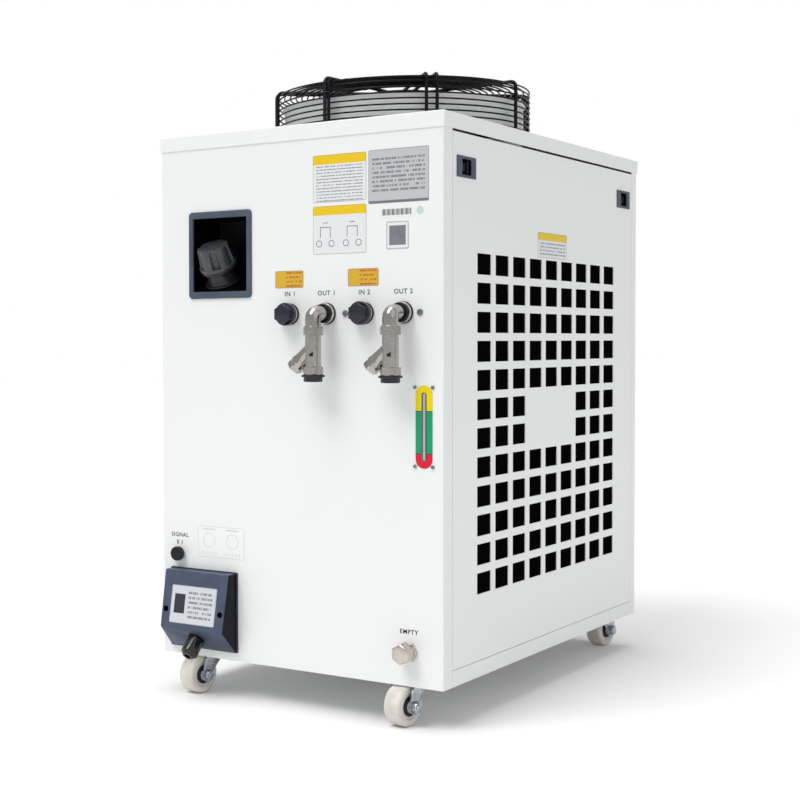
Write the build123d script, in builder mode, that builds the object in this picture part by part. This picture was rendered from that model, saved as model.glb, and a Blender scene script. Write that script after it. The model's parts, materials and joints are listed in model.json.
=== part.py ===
"""Recirculating chiller on casters, in millimetres.

X runs along the connection panel, Y goes back through the cabinet and Z is up from the floor.
The connection panel, with the water ports, faces -Y. Both side panels tilt out for cleaning.
"""

import os
from math import atan2, cos, degrees, radians, sin, sqrt, tan

from build123d import *

os.makedirs("parts", exist_ok=True)

# Cabinet
body_width = 467.0
body_depth = 697.0
body_height = 741.5
ground_clearance = 56.0
sheet = 1.2
bend = 2.0
front_return = 25.2
rear_return = 21.4
pan_height = 21.9
pan_sheet = 2.0
panel_seam = 0.8
fit_gap = 0.3
running_gap = 0.2
bearing_gap = 0.06

# Lid and fan
lid_overhang = 1.5
lid_rim = 21.5
lid_shadow_gap = 3.0
fan_offset = 36.0
fan_blade_radius = 175.0
fan_tip_gap = 8.0
shroud_height = 57.0
shroud_lip = 4.0
shroud_flange = 8.0
guard_radius = 195.0
guard_ring_wire = 2.6
guard_side_rings = 4
guard_side_pitch = 22.3
guard_first_ring = 5.3
guard_rise = 78.2
guard_top_rings = 5
guard_top_pitch = 24.0
guard_arm_wire = 5.0
guard_arm_spacing = 15.5
guard_arm_bend = 8.0
guard_turn = -4.0
guard_foot_width = 26.0
guard_foot_depth = 16.0
hub_plate_radius = 69.0
hub_plate_sheet = 2.0
motor_radius = 46.0
shaft_radius = 8.0
motor_height = 20.0
rotor_radius = 49.0
rotor_height = 42.0
blade_count = 5
blade_sheet = 2.5
fan_cable_radius = 2.8
cable_lift = 2.6
cable_entry = 14.0
cable_tie = 1.0
cable_tie_width = 3.0
cable_tie_places = (110.0, 157.0)
blade_overrun = 14.0
blade_root_chord = 62.0
blade_mid_radius = 110.0
blade_mid_chord = 96.0
blade_tip_chord = 118.0
blade_angles = (38, 30, 22)

# Removable side panels
panel_flange = 14.0
vent_columns = 9
vent_rows = 12
blank_columns = (3, 4, 5)
blank_rows = (5, 6)
vent_width = 42.4
vent_height = 28.8
vent_pitch_across = 56.8
vent_pitch_up = 39.8
vent_drop = 160.8
filter_thickness = 6.0
filter_margin = 14.0

# Flush latches in the side panels
latch_width = 56.0
latch_height = 28.8
latch_proud = 1.4
latch_inset = 38.7
latch_drop = 47.8
latch_pocket_width = 27.0
latch_pocket_height = 21.0
latch_pocket_depth = 10.0
latch_wall = 1.8
latch_throw = 7.0
latch_tongue = 2.4
latch_tongue_height = 11.0

# Water ports
port_drop = 242.2
port_pitch = 60.0
port_margin = 59.8
port_flange_radius = 14.5
port_flange = 5.5
port_bore = 8.5
port_barrel_radius = 10.8
port_gasket_radius = 15.0
port_gasket = 2.5
port_nut = 6.0
plug_collar_radius = 16.0
plug_collar = 7.0
plug_hex = 24.0
plug_hex_length = 7.0
plug_stem = 10.0

# Elbows and strainers on the outlets
elbow_reach = 35.0
elbow_radius = 9.0
elbow_bend = 12.0
elbow_rim = 2.2
elbow_collar = 4.0
outlet_seal_radius = 13.1
outlet_seal = 6.0
strainer_drop = 18.8
strainer_hex = 26.0
strainer_hex_top = 13.7
strainer_hex_bottom = 12.2
strainer_barrel = 38.3
strainer_barrel_radius = 11.6
strainer_branch_radius = 9.5
strainer_branch_drop = 44.0
strainer_branch_length = 33.0
strainer_branch_bore = 6.5
strainer_cap_hex = 20.0
strainer_cap_length = 7.0
strainer_cap_rim = 3.0
outlet_plug_flange = 3.3
outlet_plug_radius = 13.0
outlet_plug_length = 6.5

# Filler in its moulded recess
recess_margin = 107.0
recess_width = 95.0
recess_height = 106.3
recess_drop = 154.6
recess_depth = 66.0
recess_wall = 2.5
bezel_width = 111.0
bezel_height = 126.0
bezel_proud = 3.0
bezel_corner = 6.0
filler_lean = 29.0
filler_aside = 14.5
filler_depth = 28.0
neck_flange_radius = 27.0
neck_flange = 3.0
neck_radius = 22.0
neck_collar_radius = 26.5
neck_collar = 4.0
neck_length = 18.0
throat_radius = 19.5
throat_bore = 16.5
throat_length = 9.0
filler_hose_radius = 18.5
cap_rim_radius = 28.0
cap_rim = 4.5
cap_height = 32.0
cap_lobe_radius = 26.5
cap_top_radius = 23.0
cap_flute_radius = 7.0
cap_flutes = 6
cap_seal = 2.0

# Level gauge
gauge_margin = 28.6
gauge_drop = 393.9
gauge_width = 25.0
gauge_height = 110.0
gauge_plate = 0.8
gauge_slot = 7.7
gauge_slot_height = 92.0
gauge_tube_proud = 1.0
gauge_screw_across = 26.4
gauge_screw_up = 105.0

# Power terminal box and cable gland
box_margin = 76.5
box_middle = 70.2
box_width = 120.0
box_height = 116.5
box_plate = 3.0
box_top_depth = 20.0
box_front_depth = 35.0
box_front_bottom = 44.5
box_top_width = 111.6
box_wall = 2.5
hood_edge = 1.2
hood_inset = 1.5
hood_lip = 2.5
box_screw_hole = 4.4
box_screw_depth = 12.0
box_screw_spacing = 97.3
gland_hex = 24.0
gland_hex_length = 6.0
gland_radius = 12.6
gland_length = 25.0
gland_bore = 5.0

# Signal connector and drain
signal_margin = 31.5
signal_height = 148.8
signal_cap_radius = 10.4
signal_cap_length = 8.0
signal_nut_radius = 9.0
signal_nut = 2.8
drain_margin = 51.5
drain_height = 46.8
drain_hex = 24.0
drain_nut = 6.0
drain_stub_radius = 7.0
drain_reach = 26.0
drain_seal = 1.5

# Screws on the connection panel
screw_head_radius = 4.7
screw_head = 2.4
port_screw_gaps = (30.1, 25.1)
gauge_screw_radius = 2.3
guard_screw_radius = 3.6
screw_taper = 25

# Rear control face
controller_width = 78.0
controller_height = 35.0
controller_proud = 3.0
controller_depth = 55.0
controller_spacing = 100.0
controller_drop = 81.5

# Inside the cabinet
condenser_thickness = 38.0
condenser_length = 560.0
condenser_top_gap = 219.6
condenser_gap = 3.0
tank_depth = 150.0
tank_side_gap = 8.5
tank_gap = 42.0
tank_drop = 75.0
tank_corner = 18.0
pump_radius = 52.0
pump_length = 120.0
pump_bay = 108.5
pump_foot = 8.0
compressor_radius = 70.0
compressor_height = 230.0
compressor_back = 114.0
control_box_width = 300.0
control_box_depth = 70.0
control_box_height = 170.0
pipe_radius = 5.0
pipe_rise = 70.0
pipe_shift = 30.0

# Casters
caster_height = 76.0
caster_front_margin = 61.5
caster_rear_margin = 53.5
caster_front_inset = 38.5
caster_rear_inset = 56.5
caster_trail = 30.0
caster_turn = -8.0
wheel_radius = 27.5
wheel_width = 30.0
axle_radius = 4.0
axle_hex = 13.0
axle_head = 7.0
fork_sheet = 2.2
fork_side_gap = 1.6
caster_plate = 50.0
caster_plate_sheet = 2.5
raceway_radius = 19.0
raceway = 6.0
fork_swing = 33.0
fork_bulge = 6.0
axle_boss = 8.5
hub_radius = 9.0
tread_round = 2.5

# Places worked out from the sizes above
front_reach = elbow_reach + plug_collar_radius
total_depth = front_reach + body_depth + controller_proud
front_y = front_reach - total_depth / 2
back_y = front_y + body_depth
mid_y = (front_y + back_y) / 2
body_bottom = ground_clearance
rim_z = body_bottom + body_height
lid_top = rim_z + lid_rim
lid_under = lid_top - sheet
pan_top = body_bottom + pan_height
half_width = body_width / 2
inner_half = half_width - sheet
panel_bottom = pan_top + panel_seam
panel_top = rim_z - lid_shadow_gap
panel_front = front_y + front_return + panel_seam
panel_back = back_y - rear_return - panel_seam
panel_middle_y = (panel_front + panel_back) / 2
fan_y = mid_y - fan_offset
shroud_radius = fan_blade_radius + fan_tip_gap
pan_underside = caster_height
port_height = body_height - port_drop
port_z = body_bottom + port_height
port_x = [half_width - port_margin - port_pitch * i for i in (3, 2, 1, 0)]
inlet_x = (port_x[0], port_x[2])
outlet_x = (port_x[1], port_x[3])
port_screw_x = [x + gap for x, gap in zip(outlet_x, port_screw_gaps)]
recess_x = recess_margin - half_width
recess_middle = body_height - recess_drop
gauge_x = half_width - gauge_margin
gauge_middle = body_height - gauge_drop
box_x = box_margin - half_width
signal_x = signal_margin - half_width
drain_x = half_width - drain_margin
controller_z = body_bottom + body_height - controller_drop
condenser_inner = half_width - panel_flange - condenser_gap - condenser_thickness


def front_plane(x, z, out=0.0):
    """Plane on the connection panel, facing out of it, at a height above the body's bottom."""
    return Plane(origin=(x, front_y - out, body_bottom + z), x_dir=(1, 0, 0), z_dir=(0, -1, 0))


def save(piece, name):
    """Label a finished piece and write its file."""
    piece.part.label = name
    export_step(piece.part, f"parts/{name}.step")


# Base pan: a downturned tray that closes the cabinet below and carries everything
pan_front = front_y + sheet + fit_gap
pan_back = back_y - sheet - fit_gap
with BuildPart() as base_pan:
    with BuildSketch(Plane.XY.offset(body_bottom)) as pan_outline:
        with Locations((0, (pan_front + pan_back) / 2)):
            Rectangle(2 * (inner_half - fit_gap), pan_back - pan_front)
        with Locations((0, panel_middle_y)):
            Rectangle(body_width, panel_back - panel_front)
    extrude(amount=pan_height)
    with BuildSketch(Plane.XY.offset(body_bottom)):
        offset(pan_outline.sketch, amount=-pan_sheet, kind=Kind.INTERSECTION)
    extrude(amount=pan_underside - body_bottom, mode=Mode.SUBTRACT)
save(base_pan, "base_pan")

# Connection panel: one folded sheet, with side returns and the cut-outs for the fittings
recess_z = body_bottom + recess_middle
gauge_z = body_bottom + gauge_middle
signal_plane = front_plane(signal_x, signal_height)
drain_plane = front_plane(drain_x, drain_height)
with BuildPart() as connection_panel:
    with BuildSketch(Plane.XY.offset(body_bottom)):
        with Locations((0, front_y + front_return / 2)):
            RectangleRounded(body_width, front_return, bend)
        with Locations((0, front_y + front_return / 2)):
            Rectangle(body_width, front_return)
        with Locations((0, front_y + sheet + front_return)):
            Rectangle(body_width - 2 * sheet, 2 * front_return, mode=Mode.SUBTRACT)
    extrude(amount=lid_under - fit_gap - body_bottom)
    front_corners = connection_panel.edges().filter_by(Axis.Z).group_by(Axis.Y)[0]
    fillet(front_corners, bend)
    with BuildSketch(front_plane(0, 0, 1)):
        with Locations(*[(x, port_height) for x in port_x]):
            Circle(port_barrel_radius + fit_gap)
        with Locations((recess_x, recess_middle)):
            cut_width = recess_width + 2 * (recess_wall + fit_gap)
            cut_height = recess_height + 2 * (recess_wall + fit_gap)
            Rectangle(cut_width, cut_height)
        with Locations((gauge_x, gauge_middle)):
            SlotOverall(gauge_slot_height, gauge_slot, rotation=90)
        with Locations((signal_x, signal_height)):
            Circle(signal_nut_radius - 2)
        with Locations((drain_x, drain_height)):
            Circle(drain_stub_radius + fit_gap)
    extrude(amount=-(sheet + 2), mode=Mode.SUBTRACT)
save(connection_panel, "connection_panel")

# Control panel: the matching folded sheet at the back, with two controller cut-outs
controller_x = (-controller_spacing / 2, controller_spacing / 2)
with BuildPart() as control_panel:
    with BuildSketch(Plane.XY.offset(body_bottom)):
        with Locations((0, back_y - rear_return / 2)):
            Rectangle(body_width, rear_return)
        with Locations((0, back_y - sheet - rear_return)):
            Rectangle(body_width - 2 * sheet, 2 * rear_return, mode=Mode.SUBTRACT)
    extrude(amount=lid_under - fit_gap - body_bottom)
    rear_corners = control_panel.edges().filter_by(Axis.Z).group_by(Axis.Y)[-1]
    fillet(rear_corners, bend)
    with BuildSketch(Plane.XZ.offset(-back_y - 1)):
        with Locations(*[(x, controller_z) for x in controller_x]):
            Rectangle(controller_width - 8, controller_height - 6)
    extrude(amount=sheet + 2, mode=Mode.SUBTRACT)
save(control_panel, "control_panel")

# Top cover: a shallow folded lid with the fan opening
lid_width = body_width + 2 * lid_overhang
lid_depth = body_depth + 2 * lid_overhang
with BuildPart() as top_cover:
    with BuildSketch(Plane.XY.offset(rim_z)):
        with Locations((0, mid_y)):
            Rectangle(lid_width, lid_depth)
    extrude(amount=lid_rim)
    fillet(top_cover.edges().group_by(Axis.Z)[-1], bend)
    with BuildSketch(Plane.XY.offset(rim_z)):
        with Locations((0, mid_y)):
            Rectangle(lid_width - 2 * sheet, lid_depth - 2 * sheet)
    extrude(amount=lid_rim - sheet, mode=Mode.SUBTRACT)
    with BuildSketch(Plane.XY.offset(rim_z)):
        with Locations((0, fan_y)):
            Circle(shroud_radius)
    extrude(amount=lid_rim, mode=Mode.SUBTRACT)
save(top_cover, "top_cover")

# Fan shroud: a rolled ring that stands on the lid round its opening
with BuildPart() as fan_shroud:
    with BuildSketch(Plane.XZ.offset(-fan_y)):
        with BuildLine():
            inner = shroud_radius
            outer = inner + shroud_lip
            base_flange = inner + shroud_flange
            lip_z = lid_top + shroud_height
            Polyline((inner, lid_top), (inner, lip_z - shroud_lip), (outer, lip_z),
                     (outer + sheet, lip_z), (inner + sheet, lip_z - shroud_lip - sheet),
                     (inner + sheet, lid_top + sheet), (base_flange, lid_top + sheet),
                     (base_flange, lid_top), close=True)
        make_face()
    revolve(axis=Axis((0, fan_y, 0), (0, 0, 1)))
save(fan_shroud, "fan_shroud")

# Fan guard: wire rings on arms that cross the top and come down the side to the lid
guard_wire_radius = guard_radius - guard_ring_wire / 2
guard_top_z = lid_top + guard_rise
arm_z = guard_top_z + guard_ring_wire / 2 + guard_arm_wire / 2
arm_radius = guard_radius + guard_arm_wire / 2
plate_top = arm_z - guard_arm_wire / 2
side_rings = [(guard_wire_radius, lid_top + guard_first_ring + i * guard_side_pitch)
              for i in range(guard_side_rings)]
top_rings = [(guard_wire_radius - i * guard_top_pitch, guard_top_z)
             for i in range(guard_top_rings)]
with BuildPart() as guard_rings:
    with BuildSketch(Plane.XZ.offset(-fan_y)):
        with Locations(*side_rings, *top_rings):
            Rectangle(guard_ring_wire, guard_ring_wire)
    revolve(axis=Axis((0, fan_y, 0), (0, 0, 1)))
arm_start = hub_plate_radius - 20


def guard_arm(turn, aside):
    """One bent arm: across the top from the hub plate and down the side to the lid."""
    plane = Plane(origin=(0, fan_y, 0), x_dir=(cos(radians(turn)), sin(radians(turn)), 0),
                  z_dir=(sin(radians(turn)), -cos(radians(turn)), 0)).offset(aside)
    reach = sqrt(arm_radius**2 - aside**2)
    half = guard_arm_wire / 2
    with BuildPart() as arm:
        with BuildSketch(plane):
            with BuildLine():
                FilletPolyline((arm_start, arm_z + half), (reach + half, arm_z + half),
                               (reach + half, lid_top), radius=guard_arm_bend)
                Line((reach + half, lid_top), (reach - half, lid_top))
                FilletPolyline((reach - half, lid_top), (reach - half, arm_z - half),
                               (arm_start, arm_z - half), radius=guard_arm_bend - half)
                Line((arm_start, arm_z - half), (arm_start, arm_z + half))
            make_face()
        extrude(amount=half, both=True)
    return arm.part


single_arms = [guard_turn + 90 * i for i in range(4)]
paired_arms = [guard_turn + 45 + 90 * i for i in range(4)]
with BuildPart() as fan_guard:
    for turn in single_arms:
        add(guard_arm(turn, 0))
    for turn in paired_arms:
        for aside in (-guard_arm_spacing / 2, guard_arm_spacing / 2):
            add(guard_arm(turn, aside))
        foot_plane = Plane(origin=(0, fan_y, lid_top), z_dir=(0, 0, 1),
                           x_dir=(cos(radians(turn)), sin(radians(turn)), 0))
        with BuildSketch(foot_plane):
            with Locations((arm_radius + guard_foot_depth / 2 - guard_arm_wire, 0)):
                Rectangle(guard_foot_depth, guard_foot_width)
        extrude(amount=hub_plate_sheet)
    with BuildSketch(Plane.XY.offset(plate_top)):
        with Locations((0, fan_y)):
            Circle(hub_plate_radius)
    extrude(amount=-hub_plate_sheet)
    add(guard_rings.part)
save(fan_guard, "fan_guard")

# Fan motor: the fixed half of the hub motor, bolted under the guard's hub plate
motor_top = plate_top - hub_plate_sheet
motor_bottom = motor_top - motor_height
with BuildPart() as fan_motor:
    with Locations((0, fan_y, motor_top)):
        Cylinder(motor_radius, motor_height, align=(Align.CENTER, Align.CENTER, Align.MAX))
    chamfer(fan_motor.edges().group_by(Axis.Z)[0], 2)
    with Locations((0, fan_y, motor_bottom)):
        Cylinder(shaft_radius, rotor_height - 6, align=(Align.CENTER, Align.CENTER, Align.MAX))
save(fan_motor, "fan_motor")

# Fan rotor: a cup on the motor's shaft with swept, twisted blades
rotor_top = motor_bottom - 1.5
rotor_bottom = rotor_top - rotor_height
blade_z = (rotor_top + rotor_bottom) / 2
with BuildPart() as fan_rotor:
    with Locations((0, fan_y, rotor_bottom)):
        Cylinder(rotor_radius, rotor_height, align=(Align.CENTER, Align.CENTER, Align.MIN))
    chamfer(fan_rotor.edges().group_by(Axis.Z)[0], 5)
    with Locations((0, fan_y, rotor_top)):
        Cylinder(shaft_radius + bearing_gap, rotor_height - 4, mode=Mode.SUBTRACT,
                 align=(Align.CENTER, Align.CENTER, Align.MAX))
    with BuildPart(mode=Mode.PRIVATE) as blade:
        blade_radii = (rotor_radius - 4, blade_mid_radius, fan_blade_radius + blade_overrun)
        chords = (blade_root_chord, blade_mid_chord, blade_tip_chord)
        for radius, chord, pitch in zip(blade_radii, chords, blade_angles):
            station = Plane(origin=(radius, 0, 0), x_dir=(0, 1, 0), z_dir=(1, 0, 0))
            with BuildSketch(station):
                Rectangle(chord, blade_sheet, rotation=-pitch)
        loft()
        Cylinder(fan_blade_radius, 4 * rotor_height, mode=Mode.INTERSECT)
    with Locations((0, fan_y, blade_z)):
        with PolarLocations(0, blade_count):
            add(blade.part)
save(fan_rotor, "fan_rotor")

# Fan cable: tied along one arm of the guard, from its entry on the hub plate to the lid
cable_turn = radians(single_arms[3])
cable_aside = guard_arm_wire / 2 + fan_cable_radius + fit_gap
cable_z = arm_z + cable_lift
cable_radius = arm_radius + cable_lift
cable_plane = Plane(origin=(0, fan_y, 0), x_dir=(cos(cable_turn), sin(cable_turn), 0),
                    z_dir=(sin(cable_turn), -cos(cable_turn), 0)).offset(cable_aside)
tie_across = guard_arm_wire + 2 * fan_cable_radius + 3 * fit_gap
tie_height = cable_lift + guard_arm_wire / 2 + fan_cable_radius + 2 * fit_gap
tie_middle = (tie_across - guard_arm_wire) / 2 - fit_gap
with BuildPart() as fan_cable:
    with BuildLine(cable_plane) as cable_path:
        FilletPolyline((hub_plate_radius - 12, cable_z), (cable_radius, cable_z),
                       (cable_radius, lid_top), radius=guard_arm_bend + 1)
    with BuildSketch(Plane(cable_path.line @ 0, z_dir=cable_path.line % 0)):
        Circle(fan_cable_radius)
    sweep(path=cable_path.line)
    with BuildSketch(Plane(origin=(0, fan_y, plate_top), z_dir=(0, 0, 1),
                           x_dir=(cos(cable_turn), sin(cable_turn), 0))):
        with Locations((hub_plate_radius - 12 - cable_entry / 2, -cable_aside - fit_gap)):
            Rectangle(cable_entry, 2 * fan_cable_radius)
    extrude(amount=cable_z + fan_cable_radius - plate_top)
    for distance in cable_tie_places:
        tie = Plane(origin=(0, fan_y, arm_z), x_dir=(cos(cable_turn), sin(cable_turn), 0),
                    z_dir=(sin(cable_turn), -cos(cable_turn), 0))
        tie_section = Plane(origin=tie.from_local_coords((distance, 0, tie_middle)),
                            x_dir=(0, 0, 1), z_dir=(cos(cable_turn), sin(cable_turn), 0))
        with BuildSketch(tie_section):
            with Locations((cable_lift / 2, 0)):
                Rectangle(tie_height + 2 * cable_tie, tie_across + 2 * cable_tie)
                Rectangle(tie_height, tie_across, mode=Mode.SUBTRACT)
        extrude(amount=cable_tie_width / 2, both=True)
save(fan_cable, "fan_cable")

# Side panel: a shallow pan with a grille of windows, slots for the latch tongues and bezels
panel_length = panel_back - panel_front
panel_rise = panel_top - panel_bottom
side = Plane(origin=(half_width, panel_middle_y, (panel_bottom + panel_top) / 2),
             x_dir=(0, 1, 0), z_dir=(1, 0, 0))
grille_middle = rim_z - vent_drop - ((vent_rows - 1) * vent_pitch_up + vent_height) / 2
grille_y = mid_y - 1.2
latch_z = rim_z - latch_drop
latch_y = (panel_front + latch_inset, panel_back - latch_inset)
tongue_x = half_width - sheet - fit_gap - latch_tongue - 1.6
with BuildPart() as side_panel_right:
    with BuildSketch(side):
        Rectangle(panel_length, panel_rise)
    extrude(amount=-panel_flange)
    with BuildSketch(side.offset(-sheet)):
        Rectangle(panel_length - 2 * sheet, panel_rise - 2 * sheet)
    extrude(amount=-panel_flange, mode=Mode.SUBTRACT)
    with BuildSketch(Plane(origin=(half_width + 1, 0, 0), x_dir=(0, 1, 0), z_dir=(1, 0, 0))):
        for column in range(vent_columns):
            for row in range(vent_rows):
                if column in blank_columns and row in blank_rows:
                    continue
                across = grille_y + (column - (vent_columns - 1) / 2) * vent_pitch_across
                up = grille_middle + ((vent_rows - 1) / 2 - row) * vent_pitch_up
                with Locations((across, up)):
                    Rectangle(vent_width, vent_height)
        with Locations(*[(y, latch_z) for y in latch_y]):
            Rectangle(latch_width - 6 + 2 * fit_gap, latch_height - 5 + 2 * fit_gap)
    extrude(amount=-(sheet + 2), mode=Mode.SUBTRACT)
    with Locations((tongue_x + latch_tongue / 2, panel_middle_y, latch_z)):
        Box(latch_tongue + 2 * fit_gap, panel_length + 2, latch_tongue_height + 2 * fit_gap,
            mode=Mode.SUBTRACT)
save(side_panel_right, "side_panel_right")

with BuildPart() as side_panel_left:
    mirror(side_panel_right.part, about=Plane.YZ)
save(side_panel_left, "side_panel_left")

# Dust filter: a foam sheet clipped behind each grille
filter_length = vent_columns * vent_pitch_across + 2 * filter_margin
filter_rise = vent_rows * vent_pitch_up + 2 * filter_margin
with BuildPart() as dust_filter_right:
    with BuildSketch(Plane(origin=(half_width - sheet - fit_gap, grille_y, grille_middle),
                           x_dir=(0, 1, 0), z_dir=(1, 0, 0))):
        RectangleRounded(filter_length, filter_rise, 4)
    extrude(amount=-filter_thickness)
save(dust_filter_right, "dust_filter_right")

with BuildPart() as dust_filter_left:
    mirror(dust_filter_right.part, about=Plane.YZ)
save(dust_filter_left, "dust_filter_left")

# Latch bezels: a flush frame and its finger pocket, two in each side panel
housing_width = latch_width - 6
housing_height = latch_height - 5
housing_depth = latch_pocket_depth + latch_wall
with BuildPart() as latch_bezels_right:
    for y in latch_y:
        face = Plane(origin=(half_width, y, latch_z), x_dir=(0, 1, 0), z_dir=(1, 0, 0))
        with BuildSketch(face):
            Rectangle(latch_width, latch_height)
        extrude(amount=latch_proud)
        with BuildSketch(face):
            Rectangle(housing_width, housing_height)
        extrude(amount=-housing_depth)
    proud_edges = latch_bezels_right.edges().group_by(Axis.X)[-1]
    chamfer(proud_edges, 0.5)
    for y in latch_y:
        face = Plane(origin=(half_width, y, latch_z), x_dir=(0, 1, 0), z_dir=(1, 0, 0))
        with BuildSketch(face.offset(latch_proud)):
            Rectangle(latch_pocket_width, latch_pocket_height)
        extrude(amount=-(latch_proud + latch_pocket_depth), mode=Mode.SUBTRACT)
        with Locations((tongue_x + latch_tongue / 2, y, latch_z)):
            Box(latch_tongue + 2 * fit_gap, latch_width, latch_tongue_height + 2 * fit_gap,
                mode=Mode.SUBTRACT)
save(latch_bezels_right, "latch_bezels_right")

with BuildPart() as latch_bezels_left:
    mirror(latch_bezels_right.part, about=Plane.YZ)
save(latch_bezels_left, "latch_bezels_left")


def latch_slider(y, toward):
    """One latch slider at rest, drawn back: finger lip in the pocket and tongue to the post."""
    edge = panel_front if toward < 0 else panel_back
    tip = edge - toward * fit_gap
    inside = y - toward * (latch_pocket_width / 2 - latch_throw - fit_gap)
    inside_far = y - toward * (latch_pocket_width / 2 - fit_gap)
    start, end = sorted((inside_far + toward * latch_throw, tip))
    with BuildPart() as slider:
        with BuildSketch(Plane(origin=(tongue_x, 0, latch_z), x_dir=(0, 1, 0), z_dir=(1, 0, 0))):
            with Locations(((start + end) / 2, 0)):
                Rectangle(end - start, latch_tongue_height)
        extrude(amount=latch_tongue)
        with BuildSketch(Plane(origin=(tongue_x, 0, latch_z), x_dir=(0, 1, 0), z_dir=(1, 0, 0))):
            with Locations((inside, 0)):
                Rectangle(3.2, latch_pocket_height - 3)
        extrude(amount=half_width - tongue_x - fit_gap)
        chamfer(slider.edges().group_by(Axis.X)[-1], 0.8)
    return slider.part


slider_names = ("front", "rear")
for name, y, toward in zip(slider_names, latch_y, (-1, 1)):
    with BuildPart() as latch_right:
        add(latch_slider(y, toward))
    save(latch_right, f"latch_slider_right_{name}")
    with BuildPart() as latch_left:
        mirror(latch_right.part, about=Plane.YZ)
    save(latch_left, f"latch_slider_left_{name}")

# Port gaskets: a ring under each port flange and a thicker seal behind each elbow
seal_start = port_gasket + port_flange
with BuildPart() as port_gaskets:
    for x in port_x:
        with BuildSketch(front_plane(x, port_height)):
            Circle(port_gasket_radius)
            Circle(port_barrel_radius + fit_gap, mode=Mode.SUBTRACT)
        extrude(amount=port_gasket)
    for x in outlet_x:
        with BuildSketch(front_plane(x, port_height, seal_start)):
            Circle(outlet_seal_radius)
            Circle(port_bore, mode=Mode.SUBTRACT)
        extrude(amount=outlet_seal)
save(port_gaskets, "port_gaskets")

# Port fittings: bulkhead unions through the panel, each with its lock nut inside
with BuildPart() as port_fittings:
    for x in port_x:
        with BuildSketch(front_plane(x, port_height, port_gasket)):
            Circle(port_flange_radius)
        extrude(amount=port_flange)
        with BuildSketch(front_plane(x, port_height, port_gasket)):
            Circle(port_barrel_radius)
        extrude(amount=-(port_gasket + sheet + port_nut))
        with BuildSketch(front_plane(x, port_height, -sheet)):
            RegularPolygon(port_flange_radius + 2, 6)
        extrude(amount=-port_nut)
        with BuildSketch(front_plane(x, port_height, seal_start)):
            Circle(port_bore)
        extrude(amount=-(plug_stem + port_gasket), mode=Mode.SUBTRACT)
save(port_fittings, "port_fittings")

# Inlet plugs: hex plugs that close the two return ports
for number, x in enumerate(inlet_x, start=1):
    with BuildPart() as inlet_plug:
        with BuildSketch(front_plane(x, port_height, seal_start + running_gap)):
            Circle(plug_collar_radius)
        extrude(amount=plug_collar)
        chamfer(inlet_plug.edges().group_by(Axis.Y)[0], 0.8)
        with BuildSketch(front_plane(x, port_height, seal_start + running_gap + plug_collar)):
            RegularPolygon(plug_hex / 2, 6, major_radius=False, rotation=90)
        extrude(amount=plug_hex_length)
        with BuildSketch(front_plane(x, port_height, seal_start + running_gap)):
            Circle(port_bore - running_gap)
        extrude(amount=-plug_stem)
    save(inlet_plug, f"inlet_plug_{number}")

# Outlet elbows: cast quarter bends from the ports down to the strainers
elbow_start = seal_start + outlet_seal
with BuildPart() as outlet_elbows:
    for x in outlet_x:
        with BuildLine() as elbow_path:
            FilletPolyline((x, front_y - elbow_start, port_z), (x, front_y - elbow_reach, port_z),
                           (x, front_y - elbow_reach, port_z - strainer_drop), radius=elbow_bend)
        with BuildSketch(front_plane(x, port_height, elbow_start)):
            Circle(elbow_radius)
        sweep(path=elbow_path.line)
        with BuildSketch(front_plane(x, port_height, elbow_start)):
            Circle(elbow_radius + elbow_rim)
        extrude(amount=elbow_collar)
save(outlet_elbows, "outlet_elbows")

# Strainer bodies: hex ends, a cast barrel and the angled screen branch
strainer_top = port_z - strainer_drop
strainer_bottom = strainer_top - strainer_hex_top - strainer_barrel - strainer_hex_bottom
strainer_y = front_y - elbow_reach
branch_z = port_z - strainer_branch_drop - 0.3
branch_dir = (-sin(radians(45)), 0, -cos(radians(45)))
with BuildPart() as strainer_bodies:
    for x in outlet_x:
        centre = Plane(origin=(x, strainer_y, strainer_top), z_dir=(0, 0, -1), x_dir=(1, 0, 0))
        branch = Plane(origin=(x, strainer_y, branch_z), z_dir=branch_dir, x_dir=(0, 1, 0))
        with BuildSketch(centre):
            RegularPolygon(strainer_hex / 2, 6, major_radius=False)
        extrude(amount=strainer_hex_top)
        with BuildSketch(centre.offset(strainer_hex_top)):
            Circle(strainer_barrel_radius)
        extrude(amount=strainer_barrel)
        with BuildSketch(centre.offset(strainer_hex_top + strainer_barrel)):
            RegularPolygon(strainer_hex / 2, 6, major_radius=False)
        extrude(amount=strainer_hex_bottom)
        with BuildSketch(branch):
            Circle(strainer_branch_radius)
        extrude(amount=strainer_branch_length)
        with BuildSketch(branch.offset(strainer_branch_length + running_gap)):
            Circle(strainer_branch_bore)
        extrude(amount=-(plug_stem + 2 * running_gap), mode=Mode.SUBTRACT)
        with BuildSketch(centre.offset(strainer_top - strainer_bottom)):
            Circle(port_bore)
        extrude(amount=-(plug_stem + running_gap), mode=Mode.SUBTRACT)
save(strainer_bodies, "strainer_bodies")

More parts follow.
